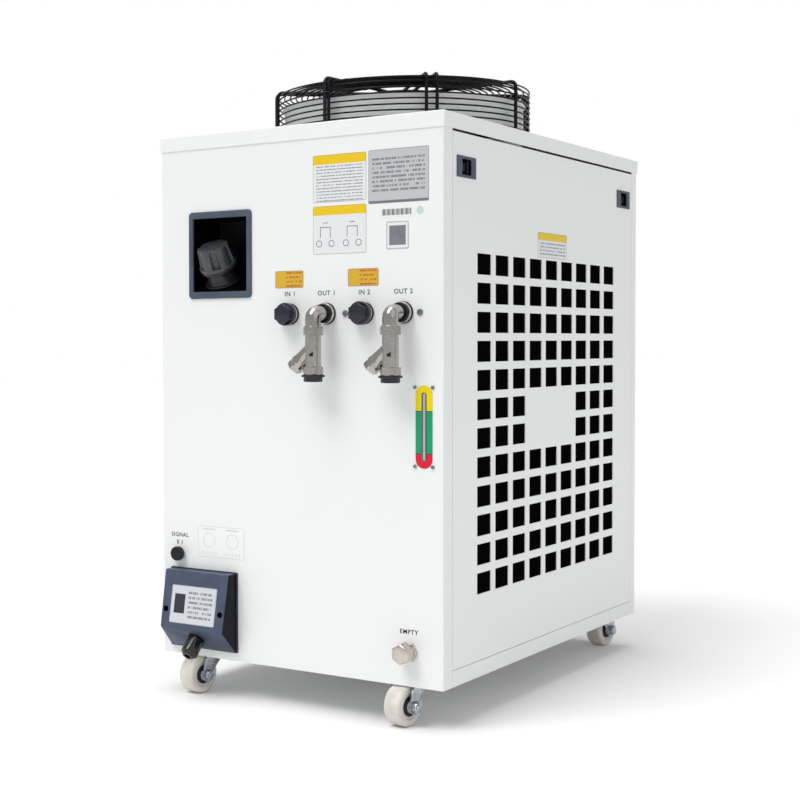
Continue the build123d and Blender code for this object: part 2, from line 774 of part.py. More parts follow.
# Strainer caps and outlet plugs: one of each closes every strainer
for number, x in enumerate(outlet_x, start=1):
    branch = Plane(origin=(x, strainer_y, branch_z), z_dir=branch_dir, x_dir=(0, 1, 0))
    with BuildPart() as strainer_cap:
        with BuildSketch(branch.offset(strainer_branch_length + running_gap)):
            Circle(strainer_branch_radius + 1)
        extrude(amount=strainer_cap_rim)
        with BuildSketch(branch.offset(strainer_branch_length + running_gap + strainer_cap_rim)):
            RegularPolygon(strainer_cap_hex / 2, 6, major_radius=False)
        extrude(amount=strainer_cap_length)
        with BuildSketch(branch.offset(strainer_branch_length + running_gap)):
            Circle(strainer_branch_bore - running_gap)
        extrude(amount=-plug_stem)
    save(strainer_cap, f"strainer_cap_{number}")

    below = Plane(origin=(x, strainer_y, strainer_bottom - running_gap), z_dir=(0, 0, -1),
                  x_dir=(1, 0, 0))
    with BuildPart() as outlet_plug:
        with BuildSketch(below):
            Circle(plug_collar_radius)
        extrude(amount=outlet_plug_flange)
        with BuildSketch(below.offset(outlet_plug_flange)):
            Circle(outlet_plug_radius)
        extrude(amount=outlet_plug_length)
        chamfer(outlet_plug.edges().group_by(Axis.Z)[0], 1)
        with BuildSketch(below):
            Circle(port_bore - running_gap)
        extrude(amount=-plug_stem)
    save(outlet_plug, f"outlet_plug_{number}")

# Filler recess: a moulded pocket with a sloped floor and a bezel on the panel
floor_front = recess_middle - recess_height / 2
floor_back = floor_front + recess_depth * tan(radians(filler_lean))
ceiling = recess_middle + recess_height / 2
section = Plane(origin=(recess_x, 0, 0), x_dir=(0, 1, 0), z_dir=(1, 0, 0))
neck_dir = (0, -sin(radians(filler_lean)), cos(radians(filler_lean)))
neck_base = (recess_x - filler_aside, front_y + filler_depth,
             body_bottom + floor_front + filler_depth * tan(radians(filler_lean)))
neck = Plane(origin=neck_base, x_dir=(1, 0, 0), z_dir=neck_dir)
with BuildPart() as filler_recess:
    with BuildSketch(section):
        with BuildLine():
            Polyline((front_y, body_bottom + floor_front - recess_wall),
                     (front_y + recess_depth + recess_wall, body_bottom + floor_back - recess_wall),
                     (front_y + recess_depth + recess_wall, body_bottom + ceiling + recess_wall),
                     (front_y, body_bottom + ceiling + recess_wall), close=True)
        make_face()
    extrude(amount=recess_width / 2 + recess_wall, both=True)
    with BuildSketch(front_plane(recess_x, recess_middle)):
        RectangleRounded(bezel_width, bezel_height, bezel_corner)
    extrude(amount=bezel_proud)
    chamfer(filler_recess.faces().sort_by(Axis.Y)[0].edges(), 1)
    with BuildSketch(section):
        with BuildLine():
            Polyline((front_y - bezel_proud - 1, body_bottom + floor_front),
                     (front_y, body_bottom + floor_front),
                     (front_y + recess_depth, body_bottom + floor_back),
                     (front_y + recess_depth, body_bottom + ceiling),
                     (front_y - bezel_proud - 1, body_bottom + ceiling), close=True)
        make_face()
    extrude(amount=recess_width / 2, both=True, mode=Mode.SUBTRACT)
    with BuildSketch(neck):
        Circle(filler_hose_radius + fit_gap)
    extrude(amount=recess_wall * 2, both=True, mode=Mode.SUBTRACT)
save(filler_recess, "filler_recess")

# Filler neck: flanged on the recess floor, with a collar and threaded throat above it
tank_top = neck_base[2] - tank_drop
throat_top = neck_flange + neck_length + neck_collar + throat_length
hose_drop = (neck_base[2] - tank_top) / cos(radians(filler_lean)) + 4
with BuildPart() as filler_neck:
    with BuildSketch(neck):
        Circle(neck_flange_radius)
    extrude(amount=neck_flange)
    with BuildSketch(neck.offset(neck_flange)):
        Circle(neck_radius)
    extrude(amount=neck_length)
    with BuildSketch(neck.offset(neck_flange + neck_length)):
        Circle(neck_collar_radius)
    extrude(amount=neck_collar)
    with BuildSketch(neck.offset(neck_flange + neck_length + neck_collar)):
        Circle(throat_radius)
    extrude(amount=throat_length)
    with BuildSketch(neck):
        Circle(filler_hose_radius)
    extrude(amount=-hose_drop)
    with BuildSketch(neck.offset(throat_top)):
        Circle(throat_bore)
    extrude(amount=-(throat_top + hose_drop), mode=Mode.SUBTRACT)
    split(bisect_by=Plane.XY.offset(tank_top + fit_gap), keep=Keep.TOP)
save(filler_neck, "filler_neck")

# Filler seal: the flat ring that the cap presses on the throat, and its lobed cap
with BuildPart() as filler_seal:
    with BuildSketch(neck.offset(throat_top + running_gap)):
        Circle(throat_radius)
        Circle(throat_bore, mode=Mode.SUBTRACT)
    extrude(amount=cap_seal)
save(filler_seal, "filler_seal")

cap_base = neck_flange + neck_length + neck_collar + 0.6
cap_roof = throat_top + running_gap + cap_seal + running_gap
with BuildPart() as filler_cap:
    with BuildSketch(neck.offset(cap_base)):
        Circle(cap_rim_radius)
    extrude(amount=cap_rim)
    with BuildSketch(neck.offset(cap_base + cap_rim)):
        Circle(cap_lobe_radius)
        with PolarLocations(cap_lobe_radius + 1.5, cap_flutes):
            Circle(cap_flute_radius, mode=Mode.SUBTRACT)
    with BuildSketch(neck.offset(cap_base + cap_height)):
        Circle(cap_top_radius)
        with PolarLocations(cap_top_radius + 4.5, cap_flutes):
            Circle(cap_flute_radius, mode=Mode.SUBTRACT)
    loft()
    with BuildSketch(neck.offset(cap_base)):
        Circle(throat_radius + 0.5)
    extrude(amount=cap_roof - cap_base, mode=Mode.SUBTRACT)
save(filler_cap, "filler_cap")

# Level gauge: a coloured scale plate with a slot, and the clear tube in the slot
with BuildPart() as level_scale:
    with BuildSketch(front_plane(gauge_x, gauge_middle)):
        SlotOverall(gauge_height, gauge_width, rotation=90)
        SlotOverall(gauge_slot_height, gauge_slot, rotation=90, mode=Mode.SUBTRACT)
    extrude(amount=gauge_plate)
save(level_scale, "level_scale")

tube_radius = gauge_slot / 2 - fit_gap
with BuildPart() as level_tube:
    with Locations((gauge_x, front_y - gauge_tube_proud + tube_radius, gauge_z)):
        Cylinder(tube_radius, gauge_slot_height - 2 * fit_gap)
    chamfer(level_tube.edges(), tube_radius * 0.7)
save(level_tube, "level_tube")

# Terminal box: a back plate on the panel and a sloped, chamfered hood over it
box_bottom = box_middle - box_height / 2
box_top = box_middle + box_height / 2
with BuildPart() as terminal_base:
    with BuildSketch(front_plane(box_x, box_middle)):
        RectangleRounded(box_width, box_height, 2)
    extrude(amount=box_plate)
save(terminal_base, "terminal_base")

hood_back = box_plate
hood_foot = box_plate + hood_lip
box_section = Plane(origin=(box_x, 0, 0), x_dir=(0, 1, 0), z_dir=(1, 0, 0))
chamfer_run = box_front_depth - hood_foot
chamfer_rise = box_front_bottom - (box_bottom + hood_inset)
chamfer_length = sqrt(chamfer_run**2 + chamfer_rise**2)
gland_dir = (0, -chamfer_rise / chamfer_length, -chamfer_run / chamfer_length)
gland_point = (box_x, front_y - (box_front_depth + hood_foot) / 2,
               body_bottom + (box_front_bottom + box_bottom + hood_inset) / 2)
gland = Plane(origin=gland_point, x_dir=(1, 0, 0), z_dir=gland_dir)


def hood_form(wall):
    """The hood's outside, or with a wall its cavity, which is open at the back."""
    back = front_y - hood_back + wall
    with BuildPart() as form:
        with BuildSketch(box_section):
            with BuildLine():
                Polyline((back, body_bottom + box_bottom + hood_inset),
                         (front_y - hood_foot, body_bottom + box_bottom + hood_inset),
                         (front_y - box_front_depth, body_bottom + box_front_bottom),
                         (front_y - box_top_depth, body_bottom + box_top - hood_inset),
                         (back, body_bottom + box_top - hood_inset), close=True)
            make_face()
            if wall:
                offset(amount=-wall, kind=Kind.INTERSECTION, mode=Mode.REPLACE)
        extrude(amount=box_width / 2, both=True)
        with BuildSketch(Plane.XY.offset(body_bottom)):
            with BuildLine():
                Polyline((box_x - box_width / 2 + hood_inset, front_y),
                         (box_x - box_top_width / 2, front_y - box_front_depth - 1),
                         (box_x + box_top_width / 2, front_y - box_front_depth - 1),
                         (box_x + box_width / 2 - hood_inset, front_y), close=True)
            make_face()
            if wall:
                offset(amount=-wall, kind=Kind.INTERSECTION, mode=Mode.REPLACE)
        extrude(amount=box_top, mode=Mode.INTERSECT)
    return form.part


with BuildPart() as terminal_cover:
    add(hood_form(0))
    hood_back_face = terminal_cover.faces().sort_by(Axis.Y)[-1]
    chamfer(terminal_cover.edges() - hood_back_face.edges(), hood_edge)
    add(hood_form(box_wall), mode=Mode.SUBTRACT)
    with BuildSketch(gland.offset(1)):
        Circle(gland_bore + 2)
    extrude(amount=-(box_wall + 3), mode=Mode.SUBTRACT)
    with BuildSketch(front_plane(box_x, box_middle, box_front_depth + 1)):
        with GridLocations(box_screw_spacing, 1, 2, 1):
            Circle(box_screw_hole)
    extrude(amount=-box_screw_depth, mode=Mode.SUBTRACT)
save(terminal_cover, "terminal_cover")

# Cable gland: hex body and domed nut, bored right through for the supply cable
with BuildPart() as cable_gland:
    with BuildSketch(gland):
        RegularPolygon(gland_hex / 2, 6, major_radius=False)
    extrude(amount=gland_hex_length)
    with BuildSketch(gland.offset(gland_hex_length)):
        Circle(gland_radius)
    extrude(amount=gland_length)
    chamfer(cable_gland.faces().sort_by(Axis(gland_point, gland_dir))[-1].edges(), gland_radius * 0.4)
    with BuildSketch(gland):
        Circle(gland_bore + 2 - fit_gap)
    extrude(amount=-(box_wall + 2))
    with BuildSketch(gland.offset(gland_hex_length + gland_length + 1)):
        Circle(gland_bore)
    extrude(amount=-(gland_hex_length + gland_length + box_wall + 5), mode=Mode.SUBTRACT)
save(cable_gland, "cable_gland")

# Signal connector and its push-on cap
with BuildPart() as signal_connector:
    with BuildSketch(signal_plane):
        Circle(signal_nut_radius)
    extrude(amount=signal_nut)
    with BuildSketch(signal_plane.offset(signal_nut)):
        Circle(signal_nut_radius - 2.5)
    extrude(amount=signal_cap_length - 4)
    with BuildSketch(signal_plane):
        Circle(signal_nut_radius - 2 - fit_gap)
    extrude(amount=-16)
save(signal_connector, "signal_connector")

with BuildPart() as signal_cap:
    with BuildSketch(signal_plane.offset(signal_nut + running_gap)):
        Circle(signal_cap_radius)
    extrude(amount=signal_cap_length)
    chamfer(signal_cap.edges().group_by(Axis.Y)[0], 1)
    with BuildSketch(signal_plane.offset(signal_nut + running_gap)):
        Circle(signal_nut_radius - 2.5 + running_gap)
    extrude(amount=signal_cap_length - 3, mode=Mode.SUBTRACT)
save(signal_cap, "signal_cap")

# Drain port, its seal and its hex cap
cap_inside = drain_nut + running_gap + drain_seal + running_gap
with BuildPart() as drain_port:
    with BuildSketch(drain_plane):
        RegularPolygon(drain_hex / 2, 6, major_radius=False)
    extrude(amount=drain_nut)
    with BuildSketch(drain_plane.offset(drain_nut)):
        Circle(drain_stub_radius)
    extrude(amount=drain_reach - drain_nut - 7)
    with BuildSketch(drain_plane):
        Circle(drain_stub_radius)
    extrude(amount=-20)
    with BuildSketch(drain_plane.offset(drain_reach)):
        Circle(drain_stub_radius - 2.2)
    extrude(amount=-(drain_reach + 22), mode=Mode.SUBTRACT)
save(drain_port, "drain_port")

with BuildPart() as drain_seal_ring:
    with BuildSketch(drain_plane.offset(drain_nut + running_gap)):
        Circle(drain_stub_radius + 3)
        Circle(drain_stub_radius + running_gap, mode=Mode.SUBTRACT)
    extrude(amount=drain_seal)
save(drain_seal_ring, "drain_seal")

with BuildPart() as drain_cap:
    with BuildSketch(drain_plane.offset(cap_inside)):
        RegularPolygon(drain_hex / 2, 6, major_radius=False, rotation=90)
    extrude(amount=drain_reach - cap_inside)
    with BuildSketch(drain_plane.offset(cap_inside)):
        Circle(drain_stub_radius + running_gap)
    extrude(amount=drain_reach - cap_inside - 4, mode=Mode.SUBTRACT)
    drain_face = drain_cap.faces().sort_by(Axis.Y)[0]
    chamfer(drain_face.edges(), 1.2)
save(drain_cap, "drain_cap")

# Screws: domed heads on the connection panel, round the level gauge and on the guard's feet
gauge_corners = [(gauge_x + i * gauge_screw_across / 2, gauge_middle + j * gauge_screw_up / 2)
                 for i in (-1, 1) for j in (-1, 1)]
foot_screw_radius = arm_radius + guard_foot_depth / 2 - guard_arm_wire / 2
with BuildPart() as cabinet_screws:
    for x in port_screw_x:
        with BuildSketch(front_plane(x, port_height)):
            Circle(screw_head_radius)
        extrude(amount=screw_head, taper=screw_taper)
    for x, z in gauge_corners:
        with BuildSketch(front_plane(x, z)):
            Circle(gauge_screw_radius)
        extrude(amount=screw_head)
    for turn in paired_arms:
        foot_screw = (foot_screw_radius * cos(radians(turn)),
                      fan_y + foot_screw_radius * sin(radians(turn)))
        with BuildSketch(Plane.XY.offset(lid_top + hub_plate_sheet)):
            with Locations(foot_screw):
                Circle(guard_screw_radius)
        extrude(amount=screw_head, taper=screw_taper)
save(cabinet_screws, "cabinet_screws")

# Temperature controllers: two panel meters set in the control face
with BuildPart() as temperature_controllers:
    for x in controller_x:
        face = Plane(origin=(x, back_y, controller_z), x_dir=(-1, 0, 0),
                     z_dir=(0, 1, 0))
        with BuildSketch(face):
            RectangleRounded(controller_width, controller_height, 3)
        extrude(amount=controller_proud)
        with BuildSketch(face):
            Rectangle(controller_width - 9, controller_height - 7)
        extrude(amount=-controller_depth)
        with BuildSketch(face.offset(controller_proud)):
            with Locations((-12, 0)):
                Rectangle(controller_width * 0.5, controller_height * 0.55)
        extrude(amount=-1, mode=Mode.SUBTRACT)
save(temperature_controllers, "temperature_controllers")

# Control box: the folded housing for the switchgear, on the back of the control face
box_back_y = back_y - sheet
with BuildPart() as control_box:
    with BuildSketch(Plane.XY.offset(controller_z - control_box_height / 2)):
        with Locations((0, box_back_y - control_box_depth / 2)):
            Rectangle(control_box_width, control_box_depth)
    extrude(amount=control_box_height)
    offset(amount=-1.5, openings=control_box.faces().sort_by(Axis.Y)[-1], kind=Kind.INTERSECTION)
save(control_box, "control_box")

# Condensers: a finned block with end plates behind each dust filter
condenser_x = condenser_inner + condenser_thickness / 2
condenser_height = body_height - pan_height - condenser_top_gap
with BuildPart() as condensers:
    for place in (-condenser_x, condenser_x):
        with Locations((place, panel_middle_y, pan_top)):
            Box(condenser_thickness - 4, condenser_length, condenser_height,
                align=(Align.CENTER, Align.CENTER, Align.MIN))
            with Locations((0, -condenser_length / 2, 0), (0, condenser_length / 2, 0)):
                Box(condenser_thickness, 3, condenser_height + 6,
                    align=(Align.CENTER, Align.CENTER, Align.MIN))
save(condensers, "condensers")

# Water tank: a blow-moulded box on the pan behind the connection panel
tank_y = front_y + tank_gap + tank_depth / 2
tank_left = tank_side_gap - condenser_inner
tank_right = condenser_inner - pump_bay
with BuildPart() as water_tank:
    with BuildSketch(Plane.XY.offset(pan_top)):
        with Locations(((tank_left + tank_right) / 2, tank_y)):
            RectangleRounded(tank_right - tank_left, tank_depth, tank_corner)
    extrude(amount=tank_top - pan_top)
save(water_tank, "water_tank")

# Circulation pump: a canned motor with its volute, on a foot
pump_x = condenser_inner - pump_bay / 2 - 2
pump_y = front_y + tank_gap + 40
pump_z = pan_top + pump_radius + pump_foot
with BuildPart() as circulation_pump:
    with BuildSketch(Plane.XZ.offset(-pump_y)):
        with Locations((pump_x, pump_z)):
            Circle(pump_radius)
    extrude(amount=-pump_length)
    with BuildSketch(Plane.XZ.offset(-pump_y)):
        with Locations((pump_x, pump_z)):
            Circle(pump_radius - 8)
    extrude(amount=22)
    with Locations((pump_x, pump_y + pump_length / 2, pan_top)):
        Box(pump_radius * 1.2, pump_length * 0.7, pump_radius,
            align=(Align.CENTER, Align.CENTER, Align.MIN))
    with Locations((pump_x, pump_y - 11, pump_z + pump_radius - 12)):
        Cylinder(9, 30, align=(Align.CENTER, Align.CENTER, Align.MIN))
save(circulation_pump, "circulation_pump")

# Compressor: a hermetic shell with domed ends on a mounting plate
compressor_centre_y = mid_y + compressor_back
with BuildPart() as compressor:
    with Locations((0, compressor_centre_y, pan_top)):
        Box(2.3 * compressor_radius, 2.3 * compressor_radius, 4,
            align=(Align.CENTER, Align.CENTER, Align.MIN))
        with Locations((0, 0, 4)):
            Cylinder(compressor_radius, compressor_height,
                     align=(Align.CENTER, Align.CENTER, Align.MIN))
    chamfer(compressor.edges().group_by(Axis.Z)[-1], compressor_radius * 0.35)
save(compressor, "compressor")

# Refrigerant pipe: from the compressor's head to the right condenser's end plate
pipe_start_z = pan_top + 4 + compressor_height
pipe_end_x = condenser_x - condenser_thickness / 2
with BuildPart() as refrigerant_pipe:
    with BuildLine() as pipe_path:
        FilletPolyline((0, compressor_centre_y, pipe_start_z),
                       (0, compressor_centre_y, pipe_start_z + pipe_rise),
                       (pipe_end_x, compressor_centre_y, pipe_start_z + pipe_rise), radius=pipe_shift)
    with BuildSketch(Plane(pipe_path.line @ 0, z_dir=pipe_path.line % 0)):
        Circle(pipe_radius)
    sweep(path=pipe_path.line)
save(refrigerant_pipe, "refrigerant_pipe")

# Casters: each is built on its swivel axis under the pan, with its wheel trailing to -Y
leg_inner = wheel_width / 2 + fork_side_gap
axle_z = wheel_radius - caster_height
crown_z = -(caster_plate_sheet + raceway)
skirt_z = body_bottom - caster_height - fit_gap
swing_y = sqrt(fork_swing**2 - (leg_inner + fork_sheet) ** 2)
with BuildPart() as plate_shape:
    with BuildSketch():
        Rectangle(caster_plate, caster_plate)
    extrude(amount=-caster_plate_sheet)
    chamfer(plate_shape.edges().filter_by(Axis.Z), 5)
    with BuildSketch(Plane.XY.offset(-caster_plate_sheet)):
        Circle(raceway_radius)
    extrude(amount=-raceway + running_gap)

with BuildPart() as fork_shape:
    with BuildSketch(Plane.XY.offset(crown_z)):
        Rectangle(2 * (leg_inner + fork_sheet), 2 * swing_y)
    extrude(amount=-fork_sheet)
    with BuildSketch(Plane(origin=(-leg_inner - fork_sheet, 0, 0), x_dir=(0, 1, 0), z_dir=(1, 0, 0))):
        with BuildLine():
            Polyline((-swing_y, crown_z), (swing_y * 0.6, crown_z), (swing_y * 0.25, skirt_z),
                     (-caster_trail + axle_boss, axle_z), (-caster_trail - axle_boss, axle_z),
                     (-swing_y - fork_bulge, skirt_z - fork_bulge), (-swing_y, skirt_z), close=True)
        make_face()
        with Locations((-caster_trail, axle_z)):
            Circle(axle_boss)
            Circle(axle_radius, mode=Mode.SUBTRACT)
    extrude(amount=2 * (leg_inner + fork_sheet))
    with BuildSketch(Plane(origin=(-leg_inner, 0, 0), x_dir=(0, 1, 0), z_dir=(1, 0, 0))):
        with Locations((-caster_trail, crown_z - fork_sheet - caster_height / 2)):
            Rectangle(4 * caster_trail, caster_height)
    extrude(amount=2 * leg_inner, mode=Mode.SUBTRACT)
    axle = Plane(origin=(0, -caster_trail, axle_z), x_dir=(0, 1, 0), z_dir=(1, 0, 0))
    head_start = leg_inner + fork_sheet
    with BuildSketch(axle.offset(-head_start)):
        Circle(axle_radius)
    extrude(amount=2 * head_start + axle_head + 2)
    for side_way in (-1, 1):
        with BuildSketch(axle.offset(side_way * head_start)):
            RegularPolygon(axle_hex / 2, 6, major_radius=False)
        extrude(amount=side_way * axle_head)

with BuildPart() as wheel_shape:
    with BuildSketch(Plane.YZ):
        with BuildLine():
            half = wheel_width / 2
            hub_half = leg_inner - running_gap
            bore = axle_radius + bearing_gap
            Polyline((bore, -hub_half), (hub_radius, -hub_half), (hub_radius, -half),
                     (wheel_radius - tread_round, -half), (wheel_radius, -half + tread_round),
                     (wheel_radius, half - tread_round), (wheel_radius - tread_round, half),
                     (hub_radius, half), (hub_radius, hub_half), (bore, hub_half), close=True)
        make_face()
    revolve(axis=Axis.Z)

wheel_place = Location(Plane(origin=(0, -caster_trail, axle_z), x_dir=(0, 1, 0), z_dir=(1, 0, 0)))
front_x = half_width - caster_front_margin
rear_x = half_width - caster_rear_margin
front_spot = front_y + caster_front_inset
rear_spot = back_y - caster_rear_inset
caster_places = {
    "front_right": (front_x, front_spot, caster_turn),
    "front_left": (-front_x, front_spot, caster_turn),
    "rear_right": (rear_x, rear_spot, 180 + caster_turn),
    "rear_left": (-rear_x, rear_spot, 180 + caster_turn),
}
with BuildPart() as caster_plates:
    for x, y, turn in caster_places.values():
        with Locations((x, y, pan_underside)):
            add(plate_shape.part)
save(caster_plates, "caster_plates")

for corner, (x, y, turn) in caster_places.items():
    place = Location((x, y, pan_underside), (0, 0, turn))
    with BuildPart() as caster_fork:
        with Locations(place):
            add(fork_shape.part)
    save(caster_fork, f"caster_fork_{corner}")
    with BuildPart() as caster_wheel:
        with Locations(place * wheel_place):
            add(wheel_shape.part)
    save(caster_wheel, f"caster_wheel_{corner}")
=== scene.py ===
"""Looks of a recirculating chiller on casters: finishes, wire guard, fittings, labels and studio."""

from __future__ import annotations

import json
import logging
import math
from dataclasses import dataclass, field
from enum import Enum
from typing import Iterable, Protocol, Sequence, Union

import bmesh
import bpy
from mathutils import Matrix, Vector

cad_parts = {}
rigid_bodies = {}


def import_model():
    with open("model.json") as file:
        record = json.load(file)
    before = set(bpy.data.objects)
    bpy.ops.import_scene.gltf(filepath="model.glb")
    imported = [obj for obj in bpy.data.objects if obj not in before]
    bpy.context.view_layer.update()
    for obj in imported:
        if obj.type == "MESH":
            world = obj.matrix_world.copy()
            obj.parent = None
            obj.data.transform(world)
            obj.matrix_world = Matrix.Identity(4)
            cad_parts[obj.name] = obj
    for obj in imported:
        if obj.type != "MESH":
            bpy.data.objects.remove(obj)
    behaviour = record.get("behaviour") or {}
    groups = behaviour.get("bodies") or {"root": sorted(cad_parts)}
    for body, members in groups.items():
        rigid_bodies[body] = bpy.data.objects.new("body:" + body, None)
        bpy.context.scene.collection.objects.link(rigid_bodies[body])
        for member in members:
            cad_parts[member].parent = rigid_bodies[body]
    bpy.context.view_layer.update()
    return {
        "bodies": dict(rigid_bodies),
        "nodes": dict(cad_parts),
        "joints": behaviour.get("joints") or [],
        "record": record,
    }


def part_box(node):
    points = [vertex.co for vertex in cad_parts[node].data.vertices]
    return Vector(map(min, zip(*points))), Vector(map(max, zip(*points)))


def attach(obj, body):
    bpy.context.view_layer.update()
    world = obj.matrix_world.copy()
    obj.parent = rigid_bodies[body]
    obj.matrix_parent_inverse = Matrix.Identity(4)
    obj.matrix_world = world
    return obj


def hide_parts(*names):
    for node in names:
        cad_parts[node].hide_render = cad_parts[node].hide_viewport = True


log = logging.getLogger("chiller")
MM = 0.001
Colour = tuple[float, float, float]
Value = Union["Signal", float, Sequence[float]]
Point = tuple[float, float]
FRAME: dict = {}


class Signal:
    """A shader socket whose operators add the Math nodes that Python's expressions name."""

    def __init__(self, graph: "Graph", socket: bpy.types.NodeSocket) -> None:
        """Keep the socket and the graph that it lives in.

        Args:
            graph: Graph that new nodes are added to.
            socket: Output socket to read from.
        """
        self.graph = graph
        self.socket = socket

    def __add__(self, other: Value) -> "Signal":
        """Sum of two values."""
        return self.graph.math("ADD", self, other)

    __radd__ = __add__

    def __sub__(self, other: Value) -> "Signal":
        """Difference of two values."""
        return self.graph.math("SUBTRACT", self, other)

    def __rsub__(self, other: Value) -> "Signal":
        """Difference with the number first."""
        return self.graph.math("SUBTRACT", other, self)

    def __mul__(self, other: Value) -> "Signal":
        """Product of two values."""
        return self.graph.math("MULTIPLY", self, other)

    __rmul__ = __mul__

    def __truediv__(self, other: Value) -> "Signal":
        """Quotient of two values."""
        return self.graph.math("DIVIDE", self, other)

    def __gt__(self, other: Value) -> "Signal":
        """One where the value is above the other, else zero."""
        return self.graph.math("GREATER_THAN", self, other)

    def __lt__(self, other: Value) -> "Signal":
        """One where the value is below the other, else zero."""
        return self.graph.math("LESS_THAN", self, other)

    def size(self) -> "Signal":
        """The value without its sign."""
        return self.graph.math("ABSOLUTE", self)

    def repeat(self, pitch: float) -> "Signal":
        """The value wrapped into one pitch, from zero."""
        return self.graph.math("FLOORED_MODULO", self, pitch)


class Graph:
    """Node tree of a material or a world, built by calls that return signals."""

    def __init__(self, name: str, owner: bpy.types.World | None = None) -> None:
        """Make an empty material, or empty the tree of a world.

        Args:
            name: Material's name.
            owner: World whose tree is built instead.
        """
        self.material = owner or bpy.data.materials.new(name)
        self.material.use_nodes = True
        self.tree = self.material.node_tree
        self.tree.nodes.clear()
        self._axes: dict[str, Signal] = {}

    def node(self, kind: str, settings: dict | None = None, inputs: dict | None = None) -> bpy.types.Node:
        """Add a node, set its settings first and then its sockets.

        Args:
            kind: Blender's type name of the node.
            settings: Attributes of the node.
            inputs: Values or signals by socket name or number.

        Returns:
            The new node.
        """
        made = self.tree.nodes.new(kind)
        for key, value in (settings or {}).items():
            setattr(made, key, value)
        for key, value in (inputs or {}).items():
            self.feed(made.inputs[key], value)
        return made

    def feed(self, socket: bpy.types.NodeSocket, value: Value) -> None:
        """Link a signal to a socket, or set the socket's own value.

        Args:
            socket: Input socket.
            value: Signal, number or colour.
        """
        if isinstance(value, Signal):
            self.tree.links.new(value.socket, socket)
        elif socket.type == "RGBA":
            socket.default_value = (*value, 1.0)
        else:
            socket.default_value = value

    def math(self, operation: str, *values: Value) -> Signal:
        """Result of one Math node."""
        made = self.node("ShaderNodeMath", {"operation": operation}, dict(enumerate(values)))
        return Signal(self, made.outputs[0])

    def mix(self, factor: Value, first: Value, second: Value) -> Signal:
        """Colour that goes from the first to the second with the factor."""
        made = self.node("ShaderNodeMix", {"data_type": "RGBA"}, {0: factor, 6: first, 7: second})
        return Signal(self, made.outputs[2])

    def place(self) -> Signal:
        """Object coordinates."""
        if "place" not in self._axes:
            made = self.node("ShaderNodeTexCoord")
            self._axes["place"] = Signal(self, made.outputs["Object"])
        return self._axes["place"]

    def axis(self, letter: str) -> Signal:
        """One of the object coordinates, by its letter."""
        if letter not in self._axes:
            made = self.node("ShaderNodeSeparateXYZ", inputs={0: self.place()})
            for name in "XYZ":
                self._axes[name] = Signal(self, made.outputs[name])
        return self._axes[letter]

    def noise(self, scale: float, detail: float = 2.0, stretch: Sequence[float] = (1, 1, 1)) -> Signal:
        """Noise over the object.

        Args:
            scale: Waves for each metre.
            detail: Octaves.
            stretch: Scale along each axis.

        Returns:
            Noise from zero to one.
        """
        mapped = self.node("ShaderNodeMapping", inputs={"Vector": self.place(), "Scale": tuple(stretch)})
        inputs = {"Vector": Signal(self, mapped.outputs[0]), "Scale": scale, "Detail": detail}
        made = self.node("ShaderNodeTexNoise", {"noise_dimensions": "3D"}, inputs)
        return Signal(self, made.outputs["Fac"])

    def ramp(self, value: Signal, low: float, high: float, start: float = 0.0, end: float = 1.0) -> Signal:
        """Value moved from one range into another and clamped."""
        inputs = {"Value": value, "From Min": low, "From Max": high, "To Min": start, "To Max": end}
        return Signal(self, self.node("ShaderNodeMapRange", {"clamp": True}, inputs).outputs[0])

    def patchy(self, scale: float, start: float, end: float, detail: float = 2.0) -> Signal:
        """Roughness that varies over the surface between two values."""
        return self.ramp(self.noise(scale, detail), 0.3, 0.7, start, end)

    def clouded(self, scale: float, first: Colour, second: Colour) -> Signal:
        """Colour that drifts between two shades over the surface."""
        return self.mix(self.ramp(self.noise(scale, 3.0), 0.35, 0.65), first, second)

    def band(self, value: Signal, low: float, high: float) -> Signal:
        """One between two limits, else zero."""
        return (value > low) * (value < high)

    def bump(self, height: Signal, depth: float) -> Signal:
        """Normal bent by a height.

        Args:
            height: Height from zero to one.
            depth: Real height of one, in metres.

        Returns:
            Normal for the shader.
        """
        made = self.node("ShaderNodeBump", inputs={"Height": height, "Distance": depth})
        return Signal(self, made.outputs[0])

    def finish(self, normal: Signal | None = None, **sockets: Value) -> bpy.types.Material:
        """Close the graph with a Principled shader.

        Args:
            normal: Bent normal, if any.
            **sockets: Principled sockets, with underscores for spaces.

        Returns:
            The finished material.
        """
        shader = self.node("ShaderNodeBsdfPrincipled")
        for name, value in sockets.items():
            self.feed(shader.inputs[name.replace("_", " ")], value)
        if normal is not None:
            self.feed(shader.inputs["Normal"], normal)
        output = self.node("ShaderNodeOutputMaterial")
        self.tree.links.new(shader.outputs[0], output.inputs[0])
        return self.material


class Finish(Protocol):
    """Anything that has a name and can build its material."""

    name: str

    def build(self) -> bpy.types.Material:
        """Return the finish's material."""


@dataclass(frozen=True)
class PowderCoat:
    """Fine textured powder coat on folded sheet."""

    name: str
    colour: Colour
    roughness: float = 0.42
    peel: float = 12e-6

    def build(self) -> bpy.types.Material:
        """Return the coat's material."""
        graph = Graph(self.name)
        cloud = graph.ramp(graph.noise(3.0, 2.0), 0.3, 0.7)
        shade = tuple(c * 0.985 for c in self.colour)
        base = graph.mix(cloud, self.colour, shade)
        fine = graph.noise(1400.0, 1.0)
        rough = graph.patchy(60.0, self.roughness - 0.03, self.roughness + 0.03)
        return graph.finish(graph.bump(fine, self.peel), Base_Color=base, Roughness=rough,
                            Coat_Weight=0.12, Coat_Roughness=0.25)


